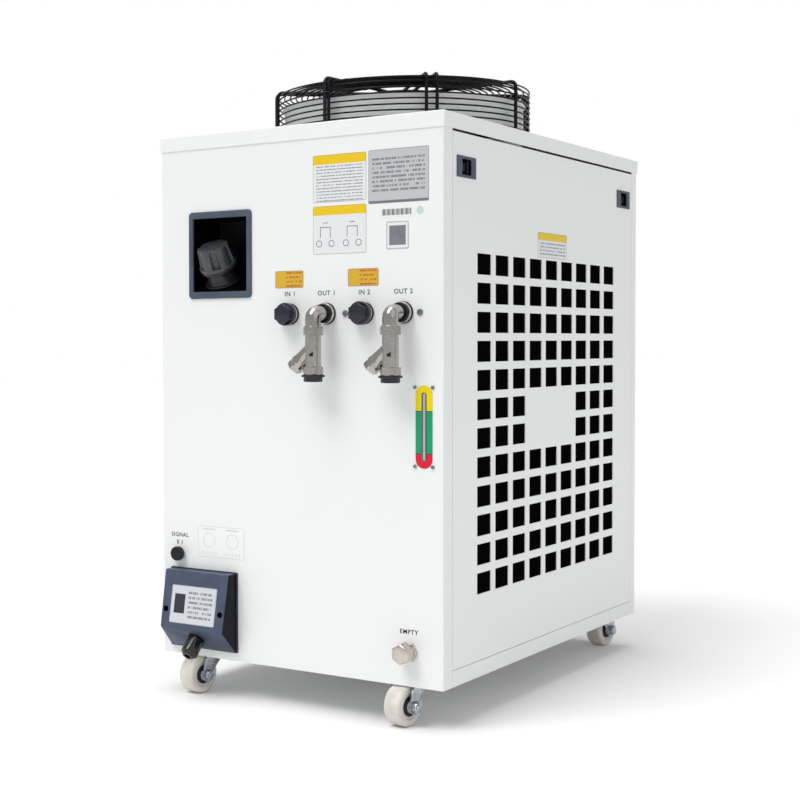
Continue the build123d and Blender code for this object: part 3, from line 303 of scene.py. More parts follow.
@dataclass(frozen=True)
class Moulded:
    """Moulded plastic with a fine grain."""

    name: str
    colour: Colour
    roughness: float = 0.45
    grain: float = 20e-6
    coat: float = 0.0
    specular: float = 0.22

    def build(self) -> bpy.types.Material:
        """Return the plastic's material."""
        graph = Graph(self.name)
        lighter = tuple(min(1.0, c * 1.25 + 0.004) for c in self.colour)
        base = graph.clouded(45.0, self.colour, lighter)
        rough = graph.patchy(180.0, self.roughness - 0.06, self.roughness + 0.06)
        return graph.finish(graph.bump(graph.noise(2200.0, 2.0), self.grain), Base_Color=base,
                            Roughness=rough, Coat_Weight=self.coat, Coat_Roughness=0.15,
                            Specular_IOR_Level=self.specular)


@dataclass(frozen=True)
class RecessShadeMoulding:
    """Moulding whose recess is painted near black as painted shade and whose proud frame is slate: the latch
    bezels' own slate, and on the filler's black bezel a painted sheen.
    """

    name: str
    letter: str
    level: float
    above: bool
    # frame: slate; inside: near black, the recess's painted shade
    frame: Colour = (0.070, 0.088, 0.118)
    inside: Colour = (0.0012, 0.0012, 0.0018)

    def build(self) -> bpy.types.Material:
        """Return the moulding's material."""
        graph = Graph(self.name)
        place = graph.axis(self.letter)
        if self.letter == "X":
            place = place.size()
        proud = (place > self.level) if self.above else (place < self.level)
        frame = graph.clouded(30.0, self.frame, tuple(c * 1.3 for c in self.frame))
        # painted shade: everything past the frame's face, in the recess, goes near black
        base = graph.mix(proud, self.inside, frame)
        rough = graph.patchy(150.0, 0.28, 0.40)
        return graph.finish(graph.bump(graph.noise(2000.0), 12e-6), Base_Color=base, Roughness=rough,
                            Specular_IOR_Level=0.12)


@dataclass(frozen=True)
class HoodSheenShadeMoulding:
    """Moulding with painted light: its forward faces carry a lighter slate as a painted reflection, and its
    faces to either side go near black as painted shade.
    """

    name: str
    # face: near-black plastic lightened to slate, a painted reflection; side: near black, painted shade
    face: Colour
    side: Colour

    def build(self) -> bpy.types.Material:
        """Return the moulding's material."""
        graph = Graph(self.name)
        normal = Signal(graph, graph.node("ShaderNodeTexCoord").outputs["Normal"])
        parts = graph.node("ShaderNodeSeparateXYZ", inputs={0: normal})
        # painted shade: faces that turn to either side take the dark side colour, the others the painted
        # reflection
        painted_shade_sides = graph.ramp(Signal(graph, parts.outputs["X"]).size(), 0.55, 0.85)
        face = graph.clouded(45.0, self.face, tuple(c * 1.2 for c in self.face))
        base = graph.mix(painted_shade_sides, face, self.side)
        rough = graph.patchy(180.0, 0.28, 0.40)
        return graph.finish(graph.bump(graph.noise(2200.0), 18e-6), Base_Color=base, Roughness=rough,
                            Specular_IOR_Level=0.18)


@dataclass(frozen=True)
class Metal:
    """Bare or plated metal, cast or turned."""

    name: str
    colour: Colour
    roughness: float
    grain: float = 8e-6
    grain_scale: float = 1500.0
    mottle: float = 0.25

    def build(self) -> bpy.types.Material:
        """Return the metal's material."""
        graph = Graph(self.name)
        patch = graph.ramp(graph.noise(90.0, 4.0), 0.3, 0.7)
        dark = tuple(c * (1 - self.mottle) for c in self.colour)
        base = graph.mix(patch, dark, self.colour)
        rough = graph.patchy(320.0, self.roughness * 0.8, self.roughness * 1.25, 3.0)
        return graph.finish(graph.bump(graph.noise(self.grain_scale, 3.0), self.grain), Base_Color=base,
                            Metallic=1.0, Roughness=rough)


@dataclass(frozen=True)
class Foam:
    """Open black filter foam, coloured near zero: partly the foam's own black, partly painted shade of the
    vents that it sits behind.
    """

    name: str
    colour: Colour
    cells: float = 700.0

    def build(self) -> bpy.types.Material:
        """Return the foam's material."""
        graph = Graph(self.name)
        made = graph.node("ShaderNodeTexVoronoi", {"feature": "F1"},
                          {"Vector": graph.place(), "Scale": self.cells})
        cells = Signal(graph, made.outputs["Distance"])
        base = graph.mix(graph.ramp(cells, 0.2, 0.7), tuple(c * 0.4 for c in self.colour), self.colour)
        return graph.finish(graph.bump(cells, 0.5e-3), Base_Color=base, Roughness=0.95,
                            Specular_IOR_Level=0.0)


@dataclass(frozen=True)
class Fins:
    """Thin aluminium fins stacked across a coil, striped dark between them as painted shade in the gaps."""

    name: str
    pitch: float

    def build(self) -> bpy.types.Material:
        """Return the fins' material."""
        graph = Graph(self.name)
        # stripes at the fin pitch: the dark band is painted shade in the gaps between fins; the same stripes
        # also bump the surface
        fin_gap_shade = graph.ramp((graph.axis("Y").repeat(self.pitch) / self.pitch - 0.5).size(), 0.1, 0.4)
        base = graph.mix(fin_gap_shade, (0.16, 0.16, 0.17), (0.62, 0.63, 0.65))
        return graph.finish(graph.bump(fin_gap_shade, 0.4e-3), Base_Color=base, Metallic=0.9, Roughness=0.4)


@dataclass(frozen=True)
class ColourBands:
    """Printed level scale: yellow, green and red fields with dark borders."""

    name: str
    green_top: float
    red_top: float

    def build(self) -> bpy.types.Material:
        """Return the scale's material."""
        graph = Graph(self.name)
        up = graph.axis("Z")
        fields = graph.mix(up > self.green_top, (0.012, 0.34, 0.145), (0.83, 0.66, 0.004))
        fields = graph.mix(up < self.red_top, fields, (0.72, 0.014, 0.038))
        border = 0.5 * MM
        lines = graph.band(up, self.green_top - border, self.green_top + border)
        lines = lines + graph.band(up, self.red_top - border, self.red_top + border)
        base = graph.mix(lines, fields, (0.03, 0.03, 0.03))
        rough = graph.patchy(200.0, 0.26, 0.36)
        return graph.finish(Base_Color=base, Roughness=rough, Specular_IOR_Level=0.2)


@dataclass(frozen=True)
class Clear:
    """Tube with painted light: its sides are painted dark as painted shade, and a band just off its middle
    is lightened as a painted highlight.
    """

    name: str
    colour: Colour
    centre: float
    radius: float

    def build(self) -> bpy.types.Material:
        """Return the tube's material."""
        graph = Graph(self.name)
        across = (graph.axis("X") - self.centre) / self.radius
        # painted shade: the tube goes dark towards both sides
        painted_rim_shade = graph.ramp(across.size(), 0.45, 0.85)
        # painted highlight: a pale band just off the tube's middle
        painted_highlight = graph.ramp((across - 0.1).size(), 0.08, 0.3, 1.0, 0.0)
        core = graph.mix(painted_highlight * 0.5, self.colour, (0.75, 0.76, 0.80))
        base = graph.mix(painted_rim_shade, core, (0.035, 0.033, 0.045))
        streak = graph.ramp(graph.noise(120.0, 1.0, (1, 1, 0.1)), 0.4, 0.6, 0.10, 0.22)
        return graph.finish(Base_Color=base, Roughness=streak, Coat_Weight=0.3, Coat_Roughness=0.05)


class Look(Enum):
    """Finishes of the chiller, by the surface that they belong to."""

    CABINET = PowderCoat("white_powder_coat", (0.860, 0.874, 0.874))
    WIRE = Moulded("black_wire_coat", (0.003, 0.003, 0.005), 0.30, 8e-6, 0.05, 0.15)
    BLACK = Moulded("black_moulding", (0.008, 0.009, 0.013), 0.36)
    GLOSS = Moulded("gloss_black_moulding", (0.004, 0.004, 0.006), 0.16, 4e-6, 0.5, 0.3)
    PLUG = Moulded("plug_moulding", (0.016, 0.017, 0.026), 0.30, 10e-6, 0.1, 0.3)
    SLATE = Moulded("slate_moulding", (0.036, 0.041, 0.060), 0.30, 18e-6, 0.15, 0.3)
    # painted reflection on the terminal cover's face, painted shade on its sides
    HOOD = HoodSheenShadeMoulding("hood_painted_sheen_moulding", (0.066, 0.080, 0.125), (0.003, 0.003, 0.006))
    CAP = Moulded("cap_moulding", (0.040, 0.044, 0.052), 0.28, 10e-6, 0.35, 0.35)
    NECK = Moulded("neck_moulding", (0.014, 0.015, 0.019), 0.32, 10e-6, 0.2, 0.3)
    RUBBER = Moulded("black_rubber", (0.006, 0.006, 0.007), 0.60, 30e-6)
    NYLON = Moulded("nylon_wheel", (0.64, 0.61, 0.565), 0.34, 8e-6, 0.0, 0.4)
    TANK = Moulded("tank_moulding", (0.70, 0.70, 0.68), 0.5)
    STEEL = Metal("cast_stainless", (0.48, 0.455, 0.43), 0.20, 2e-6, 1200.0, 0.14)
    FLANGE = Metal("turned_stainless", (0.60, 0.58, 0.56), 0.16, 1e-6, 1500.0, 0.10)
    ZINC = Metal("zinc_plate", (0.52, 0.56, 0.62), 0.26, 10e-6, 900.0, 0.40)
    SCREW = Metal("screw_plate", (0.30, 0.30, 0.32), 0.30, 10e-6, 900.0, 0.35)
    NICKEL = Metal("satin_nickel", (0.62, 0.555, 0.50), 0.24, 5e-6, 1200.0, 0.15)
    COPPER = Metal("copper_tube", (0.70, 0.36, 0.22), 0.32)
    # near-zero black: the foam's own black deepened as painted shade behind the vents
    FOAM = Foam("filter_foam", (0.0030, 0.0028, 0.0034))
    FINS = Fins("coil_fins", 2.0 * MM)


@dataclass
class Paintbox:
    """Materials that are built once and handed out by look."""

    made: dict[str, bpy.types.Material] = field(default_factory=dict)

    def get(self, look: Look | Finish) -> bpy.types.Material:
        """Return a look's material, built at its first use.

        Args:
            look: Look, or a finish of its own.

        Returns:
            The material.
        """
        finish = look.value if isinstance(look, Enum) else look
        if finish.name not in self.made:
            self.made[finish.name] = finish.build()
        return self.made[finish.name]


PAINT = Paintbox()


def add_object(name: str, data: bpy.types.ID) -> bpy.types.Object:
    """Put new data in the scene as an object."""
    made = bpy.data.objects.new(name, data)
    bpy.context.scene.collection.objects.link(made)
    return made


def baked(source: bpy.types.Object, name: str) -> bpy.types.Object:
    """Replace an object by a plain one that holds its finished mesh.

    Args:
        source: Object with modifiers.
        name: Name of the plain object.

    Returns:
        The plain object.
    """
    graph = bpy.context.evaluated_depsgraph_get()
    mesh = bpy.data.meshes.new_from_object(source.evaluated_get(graph))
    mesh.name = name
    bpy.data.objects.remove(source)
    made = add_object(name, mesh)
    made.name = name
    return made


def smooth(item: bpy.types.Object, angle: float = 40.0) -> None:
    """Shade smooth, with sharp edges where faces meet above an angle.

    Args:
        item: Object to shade.
        angle: Angle in degrees.
    """
    work = bmesh.new()
    work.from_mesh(item.data)
    for face in work.faces:
        face.smooth = True
    for edge in work.edges:
        if len(edge.link_faces) == 2:
            edge.smooth = edge.calc_face_angle(0.0) < math.radians(angle)
    work.to_mesh(item.data)
    work.free()


def dress(item: bpy.types.Object, look: Look | Finish, body: str, slot: str,
          nodes: Iterable[str] = ()) -> bpy.types.Object:
    """Give a piece its finish and its place in the assembly.

    Args:
        item: Piece.
        look: Its look.
        body: CAD body that it rides on.
        slot: Material slot of the record; not used.
        nodes: CAD nodes that it stands for.

    Returns:
        The piece.
    """
    item.data.materials.clear()
    item.data.materials.append(PAINT.get(look))
    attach(item, body)
    if nodes:
        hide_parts(*nodes)
    log.info("piece %s on %s", item.name, body)
    return item


def refined(node: str, name: str, width: float) -> bpy.types.Object:
    """Copy of a CAD node whose hard edges are rounded.

    Args:
        node: CAD node.
        name: New piece's name.
        width: Width of the rounding, in metres.

    Returns:
        The rounded copy.
    """
    merge_distance, flat_angle, least_angle = 2e-6, 1.0, 35.0
    mesh = FRAME["nodes"][node].data.copy()
    work = bmesh.new()
    work.from_mesh(mesh)
    bmesh.ops.remove_doubles(work, verts=work.verts, dist=merge_distance)
    bmesh.ops.dissolve_limit(work, angle_limit=math.radians(flat_angle), verts=work.verts,
                             edges=work.edges)
    work.to_mesh(mesh)
    work.free()
    made = add_object(name + "_source", mesh)
    bevel = made.modifiers.new("Bevel", "BEVEL")
    bevel.width = width
    bevel.segments = 2
    bevel.limit_method = "ANGLE"
    bevel.angle_limit = math.radians(least_angle)
    bevel.use_clamp_overlap = True
    bevel.miter_outer = "MITER_ARC"
    made = baked(made, name)
    smooth(made, 50.0)
    return made


def low(node: str) -> Vector:
    """Lowest corner of a CAD node."""
    return Vector(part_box(node)[0])


def high(node: str) -> Vector:
    """Highest corner of a CAD node."""
    return Vector(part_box(node)[1])


def middle(node: str) -> Vector:
    """Middle of a CAD node's box."""
    return (low(node) + high(node)) / 2


def placed(item: bpy.types.Object, matrix: Matrix) -> bpy.types.Object:
    """Move a piece's mesh by a matrix, and leave the object at the origin."""
    item.data.transform(matrix)
    item.data.update()
    return item


def facing(origin: Vector, normal: Vector, up: Vector = Vector((0, 0, 1))) -> Matrix:
    """Matrix of a face: local Z along its normal and local Y as near to up as can be.

    Args:
        origin: Point on the face.
        normal: Outward normal.
        up: Direction that local Y leans to.

    Returns:
        The matrix.
    """
    z = Vector(normal).normalized()
    x = Vector(up).cross(z).normalized()
    y = z.cross(x)
    turn = Matrix((x, y, z)).transposed().to_4x4()
    return Matrix.Translation(origin) @ turn


def lathe(name: str, profile: Sequence[Point], matrix: Matrix, steps: int = 48) -> bpy.types.Object:
    """Closed turned piece.

    Args:
        name: Piece's name.
        profile: Radius and height points in millimetres, from the axis back to the axis.
        matrix: Place, with the axis along local Z.
        steps: Facets round the axis.

    Returns:
        The piece.
    """
    work = bmesh.new()
    rings: list[list[bmesh.types.BMVert]] = []
    for radius, height in profile:
        if radius < 1e-6:
            rings.append([work.verts.new((0, 0, height * MM))])
            continue
        ring = []
        for i in range(steps):
            turn = 2 * math.pi * i / steps
            ring.append(work.verts.new((radius * MM * math.cos(turn), radius * MM * math.sin(turn),
                                        height * MM)))
        rings.append(ring)
    for first, second in zip(rings, rings[1:]):
        for i in range(steps):
            j = (i + 1) % steps
            corners = [first[i % len(first)], first[j % len(first)], second[j % len(second)],
                       second[i % len(second)]]
            unique = list(dict.fromkeys(corners))
            if len(unique) > 2:
                work.faces.new(unique)
    if len(rings[0]) > 1 and len(rings[-1]) > 1:
        for i in range(steps):
            j = (i + 1) % steps
            work.faces.new((rings[-1][i], rings[-1][j], rings[0][j], rings[0][i]))
    bmesh.ops.recalc_face_normals(work, faces=work.faces)
    return finished(work, name, matrix)


def finished(work: bmesh.types.BMesh, name: str, matrix: Matrix, angle: float = 40.0) -> bpy.types.Object:
    """Turn a working mesh into a placed, smooth-shaded object.

    Args:
        work: Working mesh, freed here.
        name: Piece's name.
        matrix: Place.
        angle: Angle above which edges stay sharp, in degrees.

    Returns:
        The piece.
    """
    mesh = bpy.data.meshes.new(name)
    work.to_mesh(mesh)
    work.free()
    made = add_object(name, mesh)
    placed(made, matrix)
    smooth(made, angle)
    return made


def rounded_profile(profile: Sequence[Point], radius: float, steps: int = 3) -> list[Point]:
    """Profile whose inner corners are rounded.

    Args:
        profile: Points, of which the first and last stay.
        radius: Rounding radius in millimetres.
        steps: Segments of each rounding.

    Returns:
        The rounded points.
    """
    out = [profile[0]]
    for before, here, after in zip(profile, profile[1:], profile[2:]):
        a, b, c = Vector(before), Vector(here), Vector(after)
        reach = min(radius, (a - b).length * 0.45, (c - b).length * 0.45)
        start = b + (a - b).normalized() * reach
        end = b + (c - b).normalized() * reach
        for i in range(steps + 1):
            t = i / steps
            out.append(tuple(start * (1 - t) ** 2 + b * 2 * t * (1 - t) + end * t**2))
    out.append(profile[-1])
    return out


def outline_prism(name: str, outline: Sequence[Point], depth: float, matrix: Matrix,
                  edge: float = 0.0) -> bpy.types.Object:
    """Flat plate with an outline and a rounded front edge.

    Args:
        name: Piece's name.
        outline: Points in millimetres, anticlockwise seen from the front.
        depth: Thickness in millimetres.
        matrix: Place, with local Z out of the front.
        edge: Rounding of the front edge in millimetres.

    Returns:
        The piece.
    """
    work = bmesh.new()
    levels = [(0.0, 0.0)]
    if edge:
        for i in range(4):
            turn = math.pi / 2 * i / 3
            levels.append((edge * (1 - math.cos(turn)), depth - edge * (1 - math.sin(turn))))
    else:
        levels.append((0.0, depth))
    centre = Vector((sum(p[0] for p in outline), sum(p[1] for p in outline))) / len(outline)
    rings = []
    for inset, height in levels:
        ring = []
        for p in outline:
            way = Vector(p) - centre
            spot = Vector(p) - way.normalized() * inset
            ring.append(work.verts.new((spot.x * MM, spot.y * MM, height * MM)))
        rings.append(ring)
    count = len(outline)
    for first, second in zip(rings, rings[1:]):
        for i in range(count):
            j = (i + 1) % count
            work.faces.new((first[i], first[j], second[j], second[i]))
    work.faces.new(rings[-1])
    work.faces.new(list(reversed(rings[0])))
    bmesh.ops.recalc_face_normals(work, faces=work.faces)
    return finished(work, name, matrix)


def hex_nut(name: str, across: float, depth: float, matrix: Matrix, turn: float = 0.0,
            start: float = 0.0) -> bpy.types.Object:
    """Hexagonal block whose corners are chamfered by a cone at both ends.

    Args:
        name: Piece's name.
        across: Size across flats in millimetres.
        depth: Length in millimetres.
        matrix: Place, with the axis along local Z.
        turn: Turn in degrees.
        start: Height of its lower end in millimetres.

    Returns:
        The piece.
    """
    steps, slope = 72, 0.55
    inner, face, tip = across / 2, across / 2 * 0.94, across / math.sqrt(3) * 0.985
    work = bmesh.new()
    rings = []
    levels = [(face, False, False), (inner, False, False), (tip, False, True), (tip, True, True),
              (inner, True, False), (face, True, False)]
    for limit, upper, side in levels:
        ring = []
        for i in range(steps):
            a = 2 * math.pi * i / steps
            fold = (math.degrees(a) - turn + 30) % 60 - 30
            flat = inner / math.cos(math.radians(30 - abs(fold)))
            reach = min(flat, limit) * MM
            rise = max(0.0, (flat - inner) * slope) if side else 0.0
            z = start + (depth - rise if upper else rise)
            ring.append(work.verts.new((reach * math.cos(a), reach * math.sin(a), z * MM)))
        rings.append(ring)
    for first, second in zip(rings, rings[1:]):
        for i in range(steps):
            j = (i + 1) % steps
            work.faces.new((first[i], first[j], second[j], second[i]))
    work.faces.new(rings[-1])
    work.faces.new(list(reversed(rings[0])))
    bmesh.ops.recalc_face_normals(work, faces=work.faces)
    return finished(work, name, matrix, 25.0)


def joined(name: str, items: Sequence[bpy.types.Object]) -> bpy.types.Object:
    """Join plain meshes of one finish into one piece.

    Args:
        name: Name of the joined piece.
        items: Pieces, all at the origin, removed here.

    Returns:
        The joined piece.
    """
    work = bmesh.new()
    for item in items:
        work.from_mesh(item.data)
    mesh = bpy.data.meshes.new(name)
    work.to_mesh(mesh)
    work.free()
    for item in items:
        bpy.data.objects.remove(item)
    return add_object(name, mesh)


def bent_route(corners: Sequence[Vector], radius: float, steps: int = 8) -> list[Vector]:
    """Wire's route with its corners bent round.

    Args:
        corners: Ends and corners of the wire, in metres.
        radius: Reach of each bend, in metres.
        steps: Segments of each bend.

    Returns:
        Points along the wire.
    """
    out = [corners[0].copy()]
    for a, b, c in zip(corners, corners[1:], corners[2:]):
        reach = min(radius, (a - b).length * 0.45, (c - b).length * 0.45)
        start = b + (a - b).normalized() * reach
        end = b + (c - b).normalized() * reach
        for i in range(steps + 1):
            t = i / steps
            out.append(start * (1 - t) ** 2 + b * 2 * t * (1 - t) + end * t**2)
    out.append(corners[-1].copy())
    return out


def wire(name: str, route: Sequence[Vector], radius: float, sides: int = 12,
         closed: bool = False) -> bpy.types.Object:
    """Round wire or tube along a route.

    Args:
        name: Piece's name.
        route: Points in metres.
        radius: Radius in metres.
        sides: Facets round it.
        closed: Whether the route is a loop.

    Returns:
        The piece.
    """
    work = bmesh.new()
    count = len(route)
    rings = []
    across = None
    for i, here in enumerate(route):
        before = route[i - 1] if i or closed else here
        after = route[(i + 1) % count] if i < count - 1 or closed else here
        along = (after - before).normalized()
        if across is None:
            seed = Vector((0, 0, 1)) if abs(along.z) < 0.9 else Vector((1, 0, 0))
            across = along.cross(seed).normalized()
        across = (across - along * across.dot(along)).normalized()
        other = along.cross(across)
        ring = []
        for k in range(sides):
            turn = 2 * math.pi * k / sides
            spot = here + (across * math.cos(turn) + other * math.sin(turn)) * radius
            ring.append(work.verts.new(spot))
        rings.append(ring)
    pairs = list(zip(rings, rings[1:] + rings[:1] if closed else rings[1:]))
    for first, second in pairs:
        for k in range(sides):
            j = (k + 1) % sides
            work.faces.new((first[k], first[j], second[j], second[k]))
    if not closed:
        work.faces.new(list(reversed(rings[0])))
        work.faces.new(rings[-1])
    bmesh.ops.recalc_face_normals(work, faces=work.faces)
    return finished(work, name, Matrix.Identity(4), 60.0)


def line_up(name: str, look: Look | Finish, body: str, slot: str, parts: Sequence[bpy.types.Object],
            nodes: Iterable[str] = ()) -> bpy.types.Object:
    """Join parts of one finish and dress them in one step.

    Args:
        name: Name of the joined piece.
        look: Its look.
        body: CAD body that it rides on.
        slot: Material slot of the record.
        parts: Plain meshes, removed here.
        nodes: CAD nodes that it stands for.

    Returns:
        The piece.
    """
    return dress(joined(name, parts), look, body, slot, nodes)


class RingTree:
    """Geometry Nodes tree that stacks or nests wire rings."""

    def __init__(self) -> None:
        """Build the tree with its named inputs."""
        self.tree = bpy.data.node_groups.new("wire_rings", "GeometryNodeTree")
        face = self.tree.interface
        face.new_socket("Geometry", in_out="INPUT", socket_type="NodeSocketGeometry")
        face.new_socket("Geometry", in_out="OUTPUT", socket_type="NodeSocketGeometry")
        for name, kind in (("Count", "Int"), ("Radius", "Float"), ("Radius Step", "Float"),
                           ("Height", "Float"), ("Height Step", "Float"), ("Wire Radius", "Float")):
            face.new_socket(name, in_out="INPUT", socket_type=f"NodeSocket{kind}")
        face.new_socket("Finish", in_out="INPUT", socket_type="NodeSocketMaterial")
        self._wire_up()

    def _add(self, kind: str, settings: dict | None = None, **links: object) -> bpy.types.Node:
        """Add a node and link or set its sockets.

        Args:
            kind: Blender's type name.
            settings: Attributes of the node.
            **links: Output sockets or values by input name, with underscores for spaces.

        Returns:
            The new node.
        """
        made = self.tree.nodes.new(kind)
        for key, value in (settings or {}).items():
            setattr(made, key, value)
        for key, value in links.items():
            socket = made.inputs[int(key[1:])] if key[0] == "n" and key[1:].isdigit() \
                else made.inputs[key.replace("_", " ")]
            if isinstance(value, bpy.types.NodeSocket):
                self.tree.links.new(value, socket)
            else:
                socket.default_value = value
        return made

    def _sum(self, base: bpy.types.NodeSocket, step: bpy.types.NodeSocket,
             index: bpy.types.NodeSocket) -> bpy.types.NodeSocket:
        """Base plus the step times the index."""
        made = self._add("ShaderNodeMath", {"operation": "MULTIPLY_ADD"}, n0=step, n1=index, n2=base)
        return made.outputs[0]

    def _wire_up(self) -> None:
        """Link the nodes from the inputs to the output."""
        given = self.tree.nodes.new("NodeGroupInput").outputs
        index = self._add("GeometryNodeInputIndex").outputs[0]
        radius = self._sum(given["Radius"], given["Radius Step"], index)
        height = self._sum(given["Height"], given["Height Step"], index)
        place = self._add("ShaderNodeCombineXYZ", Z=height).outputs[0]
        points = self._add("GeometryNodePoints", Count=given["Count"], Position=place)
        circle = self._add("GeometryNodeCurvePrimitiveCircle", {"mode": "RADIUS"}, Resolution=128,
                           Radius=1.0)
        size = self._add("ShaderNodeCombineXYZ", X=radius, Y=radius, Z=1.0)
        rings = self._add("GeometryNodeInstanceOnPoints", Points=points.outputs[0],
                          Instance=circle.outputs[0], Scale=size.outputs[0])
        real = self._add("GeometryNodeRealizeInstances", Geometry=rings.outputs[0])
        section = self._add("GeometryNodeCurvePrimitiveCircle", {"mode": "RADIUS"}, Resolution=10,
                            Radius=given["Wire Radius"])
        tube = self._add("GeometryNodeCurveToMesh", Curve=real.outputs[0],
                         Profile_Curve=section.outputs[0])
        whole = self._add("GeometryNodeRealizeInstances", Geometry=tube.outputs[0])
        coat = self._add("GeometryNodeSetMaterial", Geometry=whole.outputs[0], Material=given["Finish"])
        result = self.tree.nodes.new("NodeGroupOutput")
        self.tree.links.new(coat.outputs[0], result.inputs[0])

    def make(self, name: str, **sizes: object) -> bpy.types.Object:
        """Run the tree and return its rings as a plain mesh.

        Args:
            name: Piece's name.
            **sizes: Inputs by name, with underscores for spaces.

        Returns:
            The rings, centred on the Z axis.
        """
        carrier = add_object(name + "_source", bpy.data.meshes.new(name))
        modifier = carrier.modifiers.new("Rings", "NODES")
        modifier.node_group = self.tree
        ids = {s.name: s.identifier for s in self.tree.interface.items_tree
               if s.item_type == "SOCKET" and s.in_out == "INPUT"}
        for key, value in sizes.items():
            modifier[ids[key.replace("_", " ")]] = value
        made = baked(carrier, name)
        smooth(made, 60.0)
        return made


@dataclass
class FanGuard:
    """Wire basket over the fan, with its arms, feet, hub plate and the cable tied along one arm."""

    ring_wire: float = 1.25 * MM
    arm_wire: float = 2.6 * MM
    radius: float = 195.0 * MM
    first_ring: float = 5.3 * MM
    ring_pitch: float = 8.35 * MM
    side_rings: int = 9
    rise: float = 78.2 * MM
    top_pitch: float = 9.0 * MM
    top_rings: int = 11
    hub_radius: float = 69.0 * MM
    arm_gap: float = 15.5 * MM
    turn: float = -4.0
    bend: float = 9.0 * MM
    cable: float = 2.8 * MM
    cable_bend: float = 11.0 * MM
    lift: float = 1.9 * MM
    arm_inset: float = 22.0 * MM
    cable_inset: float = 12.0 * MM

    def build(self) -> None:
        """Make every piece of the guard."""
        lid = high("top_cover").z
        motor = middle("fan_motor")
        shift = Matrix.Translation((motor.x, motor.y, 0))
        rings = RingTree()
        coat = PAINT.get(Look.WIRE)
        side = rings.make("guard_side_rings", Count=self.side_rings, Radius=self.radius - self.ring_wire,
                          Radius_Step=0.0, Height=lid + self.first_ring, Height_Step=self.ring_pitch,
                          Wire_Radius=self.ring_wire, Finish=coat)
        top = rings.make("guard_top_rings", Count=self.top_rings, Radius=self.radius - self.ring_wire,
                         Radius_Step=-self.top_pitch, Height=lid + self.rise, Height_Step=0.0,
                         Wire_Radius=self.ring_wire, Finish=coat)
        for item in (side, top):
            placed(item, shift)
            dress(item, Look.WIRE, "cabinet", "black_wire")
        arms = []
        for i in range(4):
            arms.append(self._arm(motor, lid, self.turn + 90 * i, 0.0))
            for aside in (-0.5, 0.5):
                arms.append(self._arm(motor, lid, self.turn + 45 + 90 * i, aside * self.arm_gap))
        for i in range(4):
            arms.append(self._foot(motor, lid, self.turn + 45 + 90 * i))
        arms.append(self._hub(motor, lid))
        line_up("guard_arms", Look.WIRE, "cabinet", "black_wire", arms, ["fan_guard"])
        self._cable(motor, lid)

    def _arm_height(self, lid: float) -> float:
        """Height of the arms' wire above the floor."""
        return lid + self.rise + self.ring_wire + self.arm_wire

    def _arm(self, centre: Vector, lid: float, turn: float, aside: float) -> bpy.types.Object:
        """One arm from the hub plate, over the edge and down to the lid.

        Args:
            centre: Fan's middle.
            lid: Height of the lid's top.
            turn: Direction in degrees.
            aside: Distance beside the middle line, in metres.

        Returns:
            The wire.
        """
        out = Vector((math.cos(math.radians(turn)), math.sin(math.radians(turn)), 0))
        across = Vector((-out.y, out.x, 0)) * aside
        reach = math.sqrt((self.radius + self.arm_wire) ** 2 - aside**2)
        height = self._arm_height(lid)
        base = Vector((centre.x, centre.y, 0)) + across
        corners = [base + out * (self.hub_radius - self.arm_inset) + Vector((0, 0, height)),
                   base + out * reach + Vector((0, 0, height)), base + out * reach + Vector((0, 0, lid))]
        return wire("arm", bent_route(corners, self.bend), self.arm_wire)

    def _foot(self, centre: Vector, lid: float, turn: float) -> bpy.types.Object:
        """Pressed foot between a pair of arms."""
        out = Vector((math.cos(math.radians(turn)), math.sin(math.radians(turn)), 0))
        origin = Vector((centre.x, centre.y, lid)) + out * (self.radius + 5.5 * MM)
        matrix = facing(origin, Vector((0, 0, 1)), out)
        outline = [(-13, -7.5), (13, -7.5), (13, 5), (9, 8.4), (-9, 8.4), (-13, 5)]
        return outline_prism("foot", outline, 2.0, matrix, 0.5)

    def _hub(self, centre: Vector, lid: float) -> bpy.types.Object:
        """Pressed hub plate that carries the motor."""
        top = (self._arm_height(lid) - self.arm_wire) / MM
        radius = self.hub_radius / MM
        profile = [(0, top - 2), (radius, top - 2), (radius, top), (radius - 4, top),
                   (radius - 7, top - 0.8), (24, top - 0.8), (21, top), (0, top)]
        return lathe("hub", rounded_profile(profile, 0.8), Matrix.Translation((centre.x, centre.y, 0)), 64)

    def _cable(self, centre: Vector, lid: float) -> None:
        """Cable and its ties along one single arm."""
        turn = math.radians(self.turn - 90)
        out = Vector((math.cos(turn), math.sin(turn), 0))
        aside = Vector((out.y, -out.x, 0)) * (self.arm_wire + self.cable + 0.2 * MM)
        lift = self.lift
        height = self._arm_height(lid) + lift
        reach = self.radius + self.arm_wire + lift
        base = Vector((centre.x, centre.y, 0)) + aside
        start = base + out * (self.hub_radius - self.cable_inset) + Vector((0, 0, height))
        end = base + out * reach
        corners = [start, end + Vector((0, 0, height)), end + Vector((0, 0, lid))]
        cable = wire("fan_cable_run", bent_route(corners, self.cable_bend, 10), self.cable, 16)
        entry_matrix = facing(start - out * 7 * MM - Vector((0, 0, 1.2 * MM)), out)
        entry = lathe("fan_cable_entry", [(0, -7), (2.6, -7), (2.9, -5), (2.9, 1), (4.0, 7), (0, 7)],
                      entry_matrix, 24)
        ties = []
        for along in (98 * MM, 152 * MM):
            spot = base - aside * 0.5 + out * along + Vector((0, 0, self._arm_height(lid) + lift / 2))
            ties.append(self._tie(spot, out, Vector((0, 0, 1)), aside.normalized()))
        for drop in (30 * MM, 62 * MM):
            spot = base - aside * 0.5 + out * (self.radius + self.arm_wire + lift / 2)
            spot.z = lid + drop
            ties.append(self._tie(spot, Vector((0, 0, 1)), out, aside.normalized()))
        line_up("fan_cable_loom", Look.BLACK, "cabinet", "rubber", [cable, entry, *ties], ["fan_cable"])

